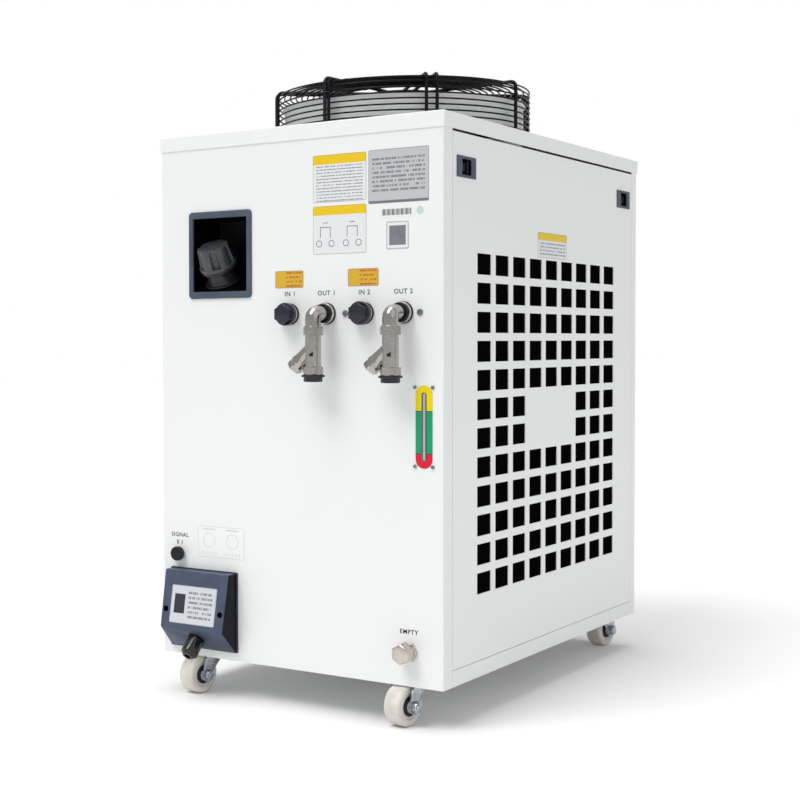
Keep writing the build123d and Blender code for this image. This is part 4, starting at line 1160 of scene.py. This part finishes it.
    def _tie(self, spot: Vector, along: Vector, up: Vector, across: Vector) -> bpy.types.Object:
        """Cable tie round the arm and the cable.

        Args:
            spot: Middle of the loop.
            along: Direction of the wires.
            up: Direction of the loop's short side.
            across: Direction of the loop's long side.

        Returns:
            The loop.
        """
        wide, tall, squareness, steps = 6.2 * MM, 4.6 * MM, 3.2, 24
        route = []
        for i in range(steps):
            a = 2 * math.pi * i / steps
            flat = (abs(math.cos(a)) ** squareness + abs(math.sin(a)) ** squareness) ** (-1 / squareness)
            route.append(spot + across * (wide * flat * math.cos(a)) + up * (tall * flat * math.sin(a)))
        return wire("tie", route, 0.75 * MM, 8, True)


@dataclass
class Caster:
    """One swivel caster: pressed fork, nylon wheel, axle bolt, washers and nut."""

    corner: str
    radius: float = 27.5
    web: float = 2.2
    hub_proud: float = 1.4
    gap: float = 0.2
    sheet: float = 2.2
    washer: float = 1.3
    nut_across: float = 14.6
    nut_depth: float = 5.8
    nut_turn: float = 12.0

    def build(self) -> None:
        """Make the caster's pieces."""
        wheel = f"caster_wheel_{self.corner}"
        fork = f"caster_fork_{self.corner}"
        centre = middle(wheel)
        swivel = next(j for j in FRAME["joints"] if j["name"] == f"caster_roll_{self.corner}")
        axis = Vector(swivel["axis"]).normalized()
        matrix = facing(centre, axis)
        across = (high(wheel).x - low(wheel).x) / MM - 2 * self.radius * abs(axis.y)
        hub = across / abs(axis.x) / 2
        half, r, web = hub - self.hub_proud, self.radius, self.web
        profile = [(4.1, -hub), (8.6, -hub), (8.6, -half + web), (17.0, -half + web), (18.2, -half),
                   (r - 2.6, -half), (r, -half + 2.6), (r, half - 2.6), (r - 2.6, half), (18.2, half),
                   (17.0, half - web), (8.6, half - web), (8.6, hub), (4.1, hub)]
        tread = lathe(f"wheel_tread_{self.corner}", rounded_profile(profile, 1.3, 4), matrix, 96)
        dress(tread, Look.NYLON, f"wheel_{self.corner}", "nylon", [wheel])
        seals = []
        for way in (-1, 1):
            side = facing(centre + axis * way * (half - web) * MM, axis * way)
            ring = [(8.7, 0.0), (13.6, 0.0), (13.6, 1.6), (11.2, 2.9), (8.7, 2.9)]
            seals.append(lathe("seal", ring, side, 48))
        line_up(f"wheel_seals_{self.corner}", Look.BLACK, f"wheel_{self.corner}", "nylon", seals)
        body = f"swivel_{self.corner}"
        legs = refined(fork, f"fork_legs_{self.corner}", 0.5 * MM)
        dress(legs, Look.ZINC, body, "zinc", [fork])
        self._axle(centre, axis, body, hub + self.gap + self.sheet)

    def _axle(self, centre: Vector, axis: Vector, body: str, leg: float) -> None:
        """Bolt head, washers and nut outside the fork's legs.

        Args:
            centre: Wheel's middle.
            axis: Direction of the axle.
            body: Body that they ride on.
            leg: Distance of the fork's outer face from the middle, in millimetres.
        """
        parts = []
        thick = self.washer
        washer = rounded_profile([(0, 0), (9.6, 0), (9.6, thick), (0, thick)], 0.3)
        for way in (-1, 1):
            face = facing(centre + axis * way * leg * MM, axis * way)
            parts.append(lathe("washer", washer, face, 36))
            parts.append(hex_nut("nut", self.nut_across, self.nut_depth, face, self.nut_turn, thick))
            if way > 0:
                end = [(0, 6.0), (3.9, 6.0), (3.9, 8.2), (3.3, 8.9), (0, 8.9)]
                parts.append(lathe("stud", end, face, 24))
        line_up(f"axle_bolt_{self.corner}", Look.ZINC, body, "zinc", parts)


@dataclass(frozen=True)
class Print:
    """Generic printed field: a pale ground, a coloured header, a border and rows of short bars."""

    name: str
    centre: tuple[float, float, float]
    size: tuple[float, float]
    ground: Colour = (0.78, 0.79, 0.80)
    header: Colour = (0.85, 0.62, 0.0)
    header_share: float = 0.2
    border: float = 0.8
    rows: int = 0
    row_height: float = 0.4
    ink: Colour = (0.16, 0.17, 0.19)
    row_top: float = 0.0
    row_bottom: float = 0.0
    breaks: float = 60.0
    columns: tuple[float, float] = (-0.44, 0.44)
    along: str = "X"
    footer_share: float = 0.0
    word_length: float = 0.06
    word_share: float = 0.43
    row_shift: float = 3.7
    ink_strength: float = 0.8
    edge_colour: Colour = (0.20, 0.21, 0.23)
    edge_strength: float = 0.55

    def build(self) -> bpy.types.Material:
        """Return the printed field's material."""
        graph = Graph(self.name)
        width, height = self.size[0] * MM, self.size[1] * MM
        across = graph.axis(self.along) - self.centre[0 if self.along == "X" else 1]
        up = graph.axis("Z") - self.centre[2]
        base: Value = self.ground
        if self.rows:
            top = height / 2 - height * self.header_share - self.row_top * MM
            bottom = -height / 2 + self.row_bottom * MM
            pitch = (top - bottom) / self.rows
            row = (up - bottom) / pitch
            inside = graph.band(row.repeat(1.0), 0.3, 0.3 + self.row_height)
            inside = inside * graph.band(up, bottom, top)
            inside = inside * graph.band(across, width * self.columns[0], width * self.columns[1])
            mapped = graph.math("FLOOR", row) * self.row_shift
            stretched = across * self.breaks / self.word_length
            stripes = graph.node("ShaderNodeCombineXYZ", inputs={0: stretched, 1: mapped})
            cut = graph.node("ShaderNodeTexNoise", {"noise_dimensions": "2D"},
                             {"Vector": Signal(graph, stripes.outputs[0]), "Scale": 1.0, "Detail": 2.0})
            words = Signal(graph, cut.outputs["Fac"]) > self.word_share
            base = graph.mix(inside * words * self.ink_strength, base, self.ink)
        if self.header_share:
            base = graph.mix(up > height / 2 - height * self.header_share, base, self.header)
        if self.footer_share:
            base = graph.mix(up < -height / 2 + height * self.footer_share, base, self.ink)
        border = self.border * MM
        edge = (across.size() > width / 2 - border) + (up.size() > height / 2 - border)
        edge = graph.math("MINIMUM", edge, 1.0) * self.edge_strength
        base = graph.mix(edge, base, self.edge_colour)
        rough = graph.patchy(150.0, 0.3, 0.4)
        return graph.finish(Base_Color=base, Roughness=rough, Coat_Weight=0.2, Coat_Roughness=0.2)


@dataclass
class Labels:
    """Generic printed fields and plain lettering on the panels."""

    thick: float = 0.25
    ink_thick: float = 0.08
    corner: float = 1.5
    first_port: float = -6.3
    port_pitch: float = 60.0
    letter_lift: float = 0.04
    letter_thick: float = 0.03
    letter_swell: float = 0.14
    letter_spacing: float = 1.12
    yellow: Colour = (0.82, 0.56, 0.0)
    place: tuple[str, str] = ("cabinet", "white_paint")

    def build(self) -> None:
        """Place every field and word."""
        panel = low("connection_panel")
        self.face = panel.y
        self.bottom = panel.z
        pale = dict(header_share=0.0, ground=(0.86, 0.87, 0.87))
        yellow = dict(header=self.yellow)
        amber = dict(ground=(0.70, 0.42, 0.020), header_share=0.0, rows=4, ink=(0.45, 0.06, 0.01),
                     columns=(-0.12, 0.44), breaks=40, border=1.1)
        steel = dict(ground=(0.52, 0.54, 0.56), header=(0.52, 0.54, 0.56))
        fields = [
            ("field_notes", 74.5, 684.5, 85, 65, dict(yellow, header_share=0.2, rows=12, row_top=1)),
            ("field_diagram", 74.5, 614, 85, 66, dict(yellow, header_share=0.19)),
            ("field_ratings", 166.2, 682, 91.6, 72,
             dict(steel, header_share=0.14, rows=8, row_bottom=14, breaks=16.0, footer_share=0.05,
                  border=1.0, row_height=0.5)),
            ("field_bars", 165, 632.7, 52, 11.5, dict(pale, border=0.1)),
            ("field_square", 165, 602.5, 34, 37,
             dict(header_share=0.0, border=1.6, ground=(0.80, 0.81, 0.82))),
            ("field_amber_1", -7.5, 548, 47, 24, amber),
            ("field_amber_2", 112, 548, 48, 24, amber),
            ("field_signal", -127, 169.5, 82, 45, dict(pale, border=0.4)),
        ]
        for name, x, z, width, height, kinds in fields:
            centre = (x * MM, self.face, self.bottom + z * MM)
            self._field(name, centre, (width, height), Vector((0, -1, 0)), "cabinet", "X", kinds)
        self._terminal_label()
        self._side_sticker()
        self._marks()
        for i, text in enumerate(("IN 1", "OUT 1", "IN 2", "OUT 2")):
            self._words(text, self.first_port + i * self.port_pitch, 527.5, 9.2)
        for text, x, z in (("SIGNAL", -202, 176), ("0 1", -202, 165), ("EMPTY", 182, 73)):
            self._words(text, x, z, 8.6)

    def _field(self, name: str, centre: tuple[float, float, float], size: tuple[float, float],
               normal: Vector, body: str, along: str, kinds: dict) -> None:
        """One printed field on a face.

        Args:
            name: Piece's name.
            centre: Its middle on the face, in metres.
            size: Width and height in millimetres.
            normal: Face's outward normal.
            body: Body that it rides on.
            along: Object axis that its width follows.
            kinds: Further settings of the print.
        """
        w, h, c = size[0] / 2, size[1] / 2, self.corner
        outline = [(-w + c, -h), (w - c, -h), (w, -h + c), (w, h - c), (w - c, h), (-w + c, h),
                   (-w, h - c), (-w, -h + c)]
        made = outline_prism(name, outline, self.thick, facing(Vector(centre), normal))
        dress(made, Print(name + "_print", centre, size, along=along, **kinds), body, "white_paint")

    def _terminal_label(self) -> None:
        """Pale field with a dark block on the sloped face of the terminal cover."""
        mesh = FRAME["nodes"]["terminal_cover"].data
        slope = max((f for f in mesh.polygons if f.normal.y < -0.5), key=lambda f: f.area)
        normal = Vector(slope.normal)
        centre = Vector((-157 * MM, 0, self.bottom + 79 * MM))
        away = normal.dot(Vector(slope.center) - centre)
        centre.y = away / normal.y
        self._field("field_terminal", tuple(centre), (81, 55), normal, "cabinet", "X",
                    dict(ground=(0.62, 0.64, 0.68), header_share=0.0, rows=6, row_bottom=7, row_top=7,
                         columns=(-0.12, 0.42), breaks=24.0, border=1.4, row_height=0.5))
        block = outline_prism("field_terminal_block", [(-34, -13), (-15, -13), (-15, 15), (-34, 15)],
                              self.ink_thick, facing(centre + normal * self.thick * MM, normal))
        dress(block, Moulded("terminal_ink", (0.03, 0.035, 0.05), 0.4), *self.place)

    def _side_sticker(self) -> None:
        """Pale field with a yellow head on the right side panel."""
        panel = high("side_panel_right")
        centre = (panel.x, 25.75 * MM, self.bottom + 602.5 * MM)
        self._field("field_side", centre, (105.5, 37), Vector((1, 0, 0)), "panel_right", "Y",
                    dict(header=self.yellow, header_share=0.3, rows=4, row_bottom=3, row_top=2,
                         breaks=30.0, border=0.8))

    def _marks(self) -> None:
        """Small plain shapes on the fields: rings, lines, bars and a square."""
        items = [self._ring(x, 595.5, 4.6, 0.8) for x in (42, 62, 85, 105)]
        for x, z, width in ((52, 618, 16), (95, 618, 16), (52, 624, 8), (95, 624, 8)):
            items.append(self._bar(x, z, width, 0.8))
        items += [self._bar(x, 611, 0.8, 14) for x in (44, 60, 87, 103)]
        for i in range(26):
            items.append(self._bar(142 + i * 1.72, 633.5, 0.5 + 0.88 * ((i * 7) % 4) / 3, 8.2))
        line_up("field_marks", Moulded("mark_ink", (0.05, 0.055, 0.065), 0.5), *self.place, items)
        line_up("field_square_ink", Moulded("field_grey", (0.17, 0.18, 0.20), 0.5), *self.place,
                [self._bar(165, 602.5, 25, 26)])
        line_up("field_dot", Moulded("field_dot_green", (0.45, 0.62, 0.55), 0.4), *self.place,
                [self._ring(199, 634, 5.0, 4.9)])
        fine = []
        for x in (-148, -107):
            fine.append(self._ring(x, 172, 10.5, 0.35))
            fine.append(self._bar(x, 188, 22, 0.7))
            for i in range(5):
                fine.append(self._bar(x - 12 + i * 6, 154, 3.4, 0.5))
                fine.append(self._bar(x - 12 + i * 6, 151.6, 2.4, 0.5))
        line_up("field_fine_marks", Moulded("faint_ink", (0.35, 0.36, 0.38), 0.5), *self.place, fine)

    def _matrix(self, x: float, z: float) -> Matrix:
        """Place of a mark on a field, in panel millimetres."""
        spot = Vector((x * MM, self.face - self.thick * MM, self.bottom + z * MM))
        return facing(spot, Vector((0, -1, 0)))

    def _bar(self, x: float, z: float, width: float, height: float) -> bpy.types.Object:
        """Flat bar."""
        w, h = width / 2, height / 2
        return outline_prism("bar", [(-w, -h), (w, -h), (w, h), (-w, h)], self.ink_thick, self._matrix(x, z))

    def _ring(self, x: float, z: float, radius: float, width: float) -> bpy.types.Object:
        """Flat ring."""
        inner = radius - width
        profile = [(inner, 0), (radius, 0), (radius, self.ink_thick), (inner, self.ink_thick)]
        return lathe("ring", profile, self._matrix(x, z), 40)

    def _words(self, text: str, x: float, z: float, size: float) -> None:
        """One line of plain lettering, printed on the panel.

        Args:
            text: Letters or numbers.
            x: Middle across the panel, in millimetres.
            z: Baseline's middle height, in millimetres.
            size: Letter size in millimetres.
        """
        curve = bpy.data.curves.new("letters", "FONT")
        curve.body = text
        curve.align_x = "CENTER"
        curve.align_y = "CENTER"
        curve.size = size * MM
        curve.space_character = self.letter_spacing
        curve.extrude = self.letter_thick * MM
        curve.offset = self.letter_swell * MM
        curve.resolution_u = 3
        name = "letters_" + text.replace(" ", "_").lower()
        made = baked(add_object(name + "_source", curve), name)
        spot = Vector((x * MM, self.face - self.letter_lift * MM, self.bottom + z * MM))
        placed(made, facing(spot, Vector((0, -1, 0))))
        dress(made, Moulded("letter_ink", (0.006, 0.007, 0.010), 0.5), *self.place)


@dataclass
class Studio:
    """Plain white studio: camera, floor, world and lamps."""

    focal_px: float = 1492.28
    principal: Point = (238.71, 382.32)
    picture: float = 800.0
    yaw: float = 0.6156
    pitch: float = 0.0271
    roll: float = -0.0033
    eye: tuple[float, float, float] = (1.14173, -2.09682, 0.51704)
    mid_y: float = 0.024
    paper: float = 0.88
    glow: float = 0.05
    sky: float = 0.48

    def build(self) -> None:
        """Make the studio."""
        self._camera()
        self._floor()
        self._world()
        self._lamps()
        bpy.context.scene.view_settings.view_transform = "Standard"

    def _camera(self) -> None:
        """Camera at the photograph's viewpoint."""
        data = bpy.data.cameras.new("camera")
        data.sensor_width = 36.0
        data.lens = self.focal_px / self.picture * data.sensor_width
        data.shift_x = (self.picture / 2 - self.principal[0]) / self.picture
        data.shift_y = (self.principal[1] - self.picture / 2) / self.picture
        data.clip_end = 50.0
        camera = add_object("camera", data)
        level = math.cos(self.pitch)
        ahead = Vector((-math.sin(self.yaw) * level, math.cos(self.yaw) * level, -math.sin(self.pitch)))
        right = Vector((math.cos(self.yaw), math.sin(self.yaw), 0))
        above = right.cross(ahead)
        turned = right * math.cos(self.roll) + above * math.sin(self.roll)
        top = -right * math.sin(self.roll) + above * math.cos(self.roll)
        matrix = Matrix((turned, top, -ahead)).transposed().to_4x4()
        matrix.translation = Vector(self.eye) + Vector((0, self.mid_y, 0))
        camera.matrix_world = matrix
        bpy.context.scene.camera = camera

    def _seen(self, graph: Graph) -> Signal:
        """One for rays that show the background in the picture, metal or glass."""
        rays = graph.node("ShaderNodeLightPath").outputs
        shown = Signal(graph, rays["Is Camera Ray"]) + Signal(graph, rays["Is Glossy Ray"])
        return graph.math("MINIMUM", shown + Signal(graph, rays["Is Transmission Ray"]), 1.0)

    def _floor(self) -> None:
        """Pale floor that goes white in the picture and keeps the shadow."""
        work = bmesh.new()
        bmesh.ops.create_grid(work, x_segments=8, y_segments=8, size=12.0)
        floor = finished(work, "floor", Matrix.Translation((0, 0, -0.0002)))
        graph = Graph("floor_paper")
        paper = graph.node("ShaderNodeBsdfDiffuse", inputs={"Color": (self.paper,) * 3})
        glow = graph.node("ShaderNodeEmission",
                          inputs={"Color": (1, 1, 1), "Strength": self._seen(graph) * self.glow})
        both = graph.node("ShaderNodeAddShader")
        graph.tree.links.new(paper.outputs[0], both.inputs[0])
        graph.tree.links.new(glow.outputs[0], both.inputs[1])
        output = graph.node("ShaderNodeOutputMaterial")
        graph.tree.links.new(both.outputs[0], output.inputs[0])
        floor.data.materials.append(graph.material)

    def _world(self) -> None:
        """White surroundings, plain white in the picture and softer as light."""
        world = bpy.data.worlds.new("studio")
        bpy.context.scene.world = world
        graph = Graph("studio", world)
        rays = graph.node("ShaderNodeLightPath").outputs
        seen = graph.math("MINIMUM", Signal(graph, rays["Is Camera Ray"])
                          + Signal(graph, rays["Is Transmission Ray"]), 1.0)
        strength = seen * (1.0 - self.sky) + self.sky
        back = graph.node("ShaderNodeBackground", inputs={"Color": (1, 1, 1), "Strength": strength})
        output = graph.node("ShaderNodeOutputWorld")
        graph.tree.links.new(back.outputs[0], output.inputs[0])

    def _lamps(self) -> None:
        """Soft suns: from the front, from the right, and from straight above for the floor."""
        for name, place, angle, power in (("key", (-0.30, -0.85, 1.25), 30.0, 1.42),
                                          ("side", (1.0, -0.35, 0.75), 60.0, 0.30),
                                          ("top", (-0.08, -0.05, 1.0), 40.0, 0.90)):
            data = bpy.data.lights.new(name, "SUN")
            data.angle = math.radians(angle)
            data.energy = power
            lamp = add_object(name, data)
            lamp.rotation_mode = "QUATERNION"
            lamp.rotation_quaternion = (-Vector(place)).to_track_quat("-Z", "Y")


@dataclass
class Cabinet:
    """Folded panels and what is seated in them, dressed as they come from the CAD."""

    looks: dict[str, Look] = field(default_factory=lambda: {
        "base_pan": Look.CABINET, "connection_panel": Look.CABINET, "control_panel": Look.CABINET,
        "top_cover": Look.CABINET, "fan_shroud": Look.CABINET, "side_panel": Look.CABINET,
        "dust_filter": Look.FOAM, "fan_motor": Look.WIRE, "fan_rotor": Look.WIRE,
        "caster_plates": Look.ZINC, "cabinet_screws": Look.SCREW, "port_gaskets": Look.RUBBER,
        "filler_seal": Look.RUBBER, "drain_seal": Look.RUBBER, "terminal_base": Look.SLATE,
        "signal_connector": Look.NICKEL, "temperature_controllers": Look.BLACK,
        "compressor": Look.WIRE, "condensers": Look.FINS, "water_tank": Look.TANK,
        "circulation_pump": Look.NICKEL, "refrigerant_pipe": Look.COPPER, "control_box": Look.ZINC,
        "latch_slider": Look.BLACK, "fan_": Look.WIRE,
    })

    def build(self) -> None:
        """Give each CAD node that stays its finish."""
        for name, node in FRAME["nodes"].items():
            for start, look in self.looks.items():
                if name.startswith(start):
                    node.data.materials.clear()
                    node.data.materials.append(PAINT.get(look))
                    log.info("node %s dressed", name)
                    break
        tube = FRAME["nodes"]["level_tube"]
        radius = (high("level_tube").x - low("level_tube").x) / 2
        tube.data.materials.clear()
        # sight tube with a painted dark rim and a painted highlight
        finish = Clear("sight_tube", (0.30, 0.30, 0.33), middle("level_tube").x, radius)
        tube.data.materials.append(PAINT.get(finish))


@dataclass
class Refinements:
    """CAD pieces that keep their shape and get rounded edges."""

    table: tuple[tuple[str, Look, str, float], ...] = (
        ("port_fittings", Look.FLANGE, "stainless", 0.3), ("filler_neck", Look.NECK, "grey_plastic", 0.6),
        ("terminal_cover", Look.HOOD, "slate_plastic", 0.6),
        ("cable_gland", Look.GLOSS, "black_plastic", 0.6), ("drain_port", Look.NICKEL, "nickel", 0.5),
    )

    def build(self) -> None:
        """Round and dress each piece on the cabinet."""
        for node, look, slot, width in self.table:
            dress(refined(node, node + "_piece", width * MM), look, "cabinet", slot, [node])
        movers = [("filler_cap", Look.CAP, "filler_lid", "grey_plastic", 1.2),
                  ("drain_cap", Look.NICKEL, "drain_lid", "nickel", 0.6),
                  ("signal_cap", Look.BLACK, "signal_lid", "black_plastic", 0.8)]
        for i in (1, 2):
            movers.append((f"inlet_plug_{i}", Look.PLUG, f"inlet_plug_{i}", "stainless", 0.5))
            movers.append((f"strainer_cap_{i}", Look.STEEL, f"strainer_cap_{i}", "stainless", 0.6))
            movers.append((f"outlet_plug_{i}", Look.PLUG, f"outlet_plug_{i}", "rubber", 0.5))
        proud = 0.3 * MM
        face = low("connection_panel").y - proud
        # filler recess painted near black inside as painted shade; its slate frame is a painted sheen on
        # black plastic
        recess = RecessShadeMoulding("filler_bezel_recess_shade", "Y", face, False)
        dress(refined("filler_recess", "filler_recess_piece", MM), recess, "cabinet", "black_plastic",
              ["filler_recess"])
        side_face = high("side_panel_right").x + proud
        # latch pockets painted near black as painted shade
        bezel = RecessShadeMoulding("latch_bezel_recess_shade", "X", side_face, True)
        for side in ("right", "left"):
            movers.append((f"latch_bezels_{side}", bezel, f"panel_{side}", "slate_plastic", 0.5))
        for node, look, body, slot, width in movers:
            dress(refined(node, node + "_piece", width * MM), look, body, slot, [node])


@dataclass
class OutletRun:
    """Elbow and strainer of one outlet: cast barrels, hexagonal ends and a branch to the cap."""

    barrel: float = 11.0
    across: float = 26.0
    hex_depth: float = 11.0
    hex_turn: float = 8.0
    elbow: float = 10.6
    bend: float = 9.0
    behind: float = 7.0

    def build(self) -> None:
        """Make the elbows and the strainers of both outlets."""
        elbows, bodies, arrows = [], [], []
        for number in (1, 2):
            cap = middle(f"strainer_cap_{number}")
            plug = middle(f"outlet_plug_{number}")
            elbows += self._elbow(plug)
            bodies += self._body(plug, cap, self._branch_axis(number, plug, cap))
            arrows.append(self._arrow(plug))
        line_up("elbow_barrels", Look.STEEL, "cabinet", "stainless", elbows, ["outlet_elbows"])
        line_up("strainer_castings", Look.STEEL, "cabinet", "stainless", bodies, ["strainer_bodies"])
        line_up("strainer_arrows", Look.BLACK, "cabinet", "stainless", arrows)

    def _branch_axis(self, number: int, plug: Vector, cap: Vector) -> Vector:
        """Direction from the barrel to its cap."""
        joint = next(j for j in FRAME["joints"] if j["name"] == f"strainer_cap_turn_{number}")
        axis = Vector(joint["axis"]).normalized()
        return axis if axis.x * (cap.x - plug.x) > 0 else -axis

    def _elbow(self, plug: Vector) -> list[bpy.types.Object]:
        """Two barrels that meet in a rounded corner, with a rim at the lower end and a collar behind."""
        port = middle("port_fittings").z
        foot = high("strainer_bodies").z - MM
        face = low("connection_panel").y
        corners = [Vector((plug.x, plug.y, foot)), Vector((plug.x, plug.y, port)),
                   Vector((plug.x, face - self.behind * MM, port))]
        parts = [wire("elbow", bent_route(corners, self.bend * MM, 12), self.elbow * MM, 40)]
        rim = [(9.0, 0), (12.4, 0), (12.4, 2.6), (9.0, 2.6)]
        parts.append(lathe("rim", rounded_profile(rim, 0.5), Matrix.Translation(corners[0]), 48))
        collar = [(9.0, 0), (12.6, 0), (12.6, 5.0), (9.0, 5.0)]
        behind = facing(corners[2], Vector((0, -1, 0)))
        parts.append(lathe("collar", rounded_profile(collar, 0.7), behind, 48))
        return parts

    def _body(self, plug: Vector, cap: Vector, axis: Vector) -> list[bpy.types.Object]:
        """Barrel, hexagonal ends, and the branch up to the cap."""
        bottom, top = low("strainer_bodies").z, high("strainer_bodies").z
        origin = Matrix.Translation((plug.x, plug.y, bottom))
        height = (top - bottom) / MM
        end = self.hex_depth
        first, last = end - 1, height - end + 1
        barrel = [(0, first), (self.barrel, first), (self.barrel, last), (0, last)]
        parts = [lathe("barrel", barrel, origin, 64),
                 hex_nut("hex_low", self.across, end, origin, self.hex_turn, 0.0),
                 hex_nut("hex_high", self.across, end, origin, self.hex_turn, height - end)]
        along = (cap.x - plug.x) / axis.x
        start = cap - axis * along
        reach = along / MM
        branch = [(0, 0), (8.2, 0), (9.6, reach - 15), (10.8, reach - 7), (11.6, reach - 5),
                  (11.6, reach - 2.4), (10.4, reach - 2.0), (0, reach - 2.0)]
        parts.append(lathe("branch", branch, facing(start, axis), 56))
        return parts

    def _arrow(self, plug: Vector) -> bpy.types.Object:
        """Cast arrow on the barrel's front."""
        z = (low("strainer_bodies").z + high("strainer_bodies").z) / 2 - 4 * MM
        normal = Vector((0.35, -1, 0)).normalized()
        spot = Vector((plug.x, plug.y, z)) + normal * (self.barrel - 0.35) * MM
        outline = [(-2.0, -3.2), (2.6, -3.2), (2.6, 3.2), (-3.4, -0.6)]
        return outline_prism("arrow", outline, 0.8, facing(spot, normal))


@dataclass
class Gauge:
    """Level gauge's printed scale."""

    def build(self) -> None:
        """Make the scale with its three colour fields."""
        bottom = low("connection_panel").z
        scale = refined("level_scale", "level_scale_piece", 0.25 * MM)
        finish = ColourBands("level_fields", bottom + 368.6 * MM, bottom + 312.0 * MM)
        dress(scale, finish, "cabinet", "scale", ["level_scale"])


def main() -> None:
    """Build the dressed chiller."""
    logging.basicConfig(level=logging.INFO, format="%(name)s %(message)s")
    FRAME.update(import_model())
    Studio().build()
    Cabinet().build()
    Refinements().build()
    OutletRun().build()
    FanGuard().build()
    for corner in ("front_right", "front_left", "rear_right", "rear_left"):
        Caster(corner).build()
    Gauge().build()
    Labels().build()


if __name__ == "__main__":
    main()
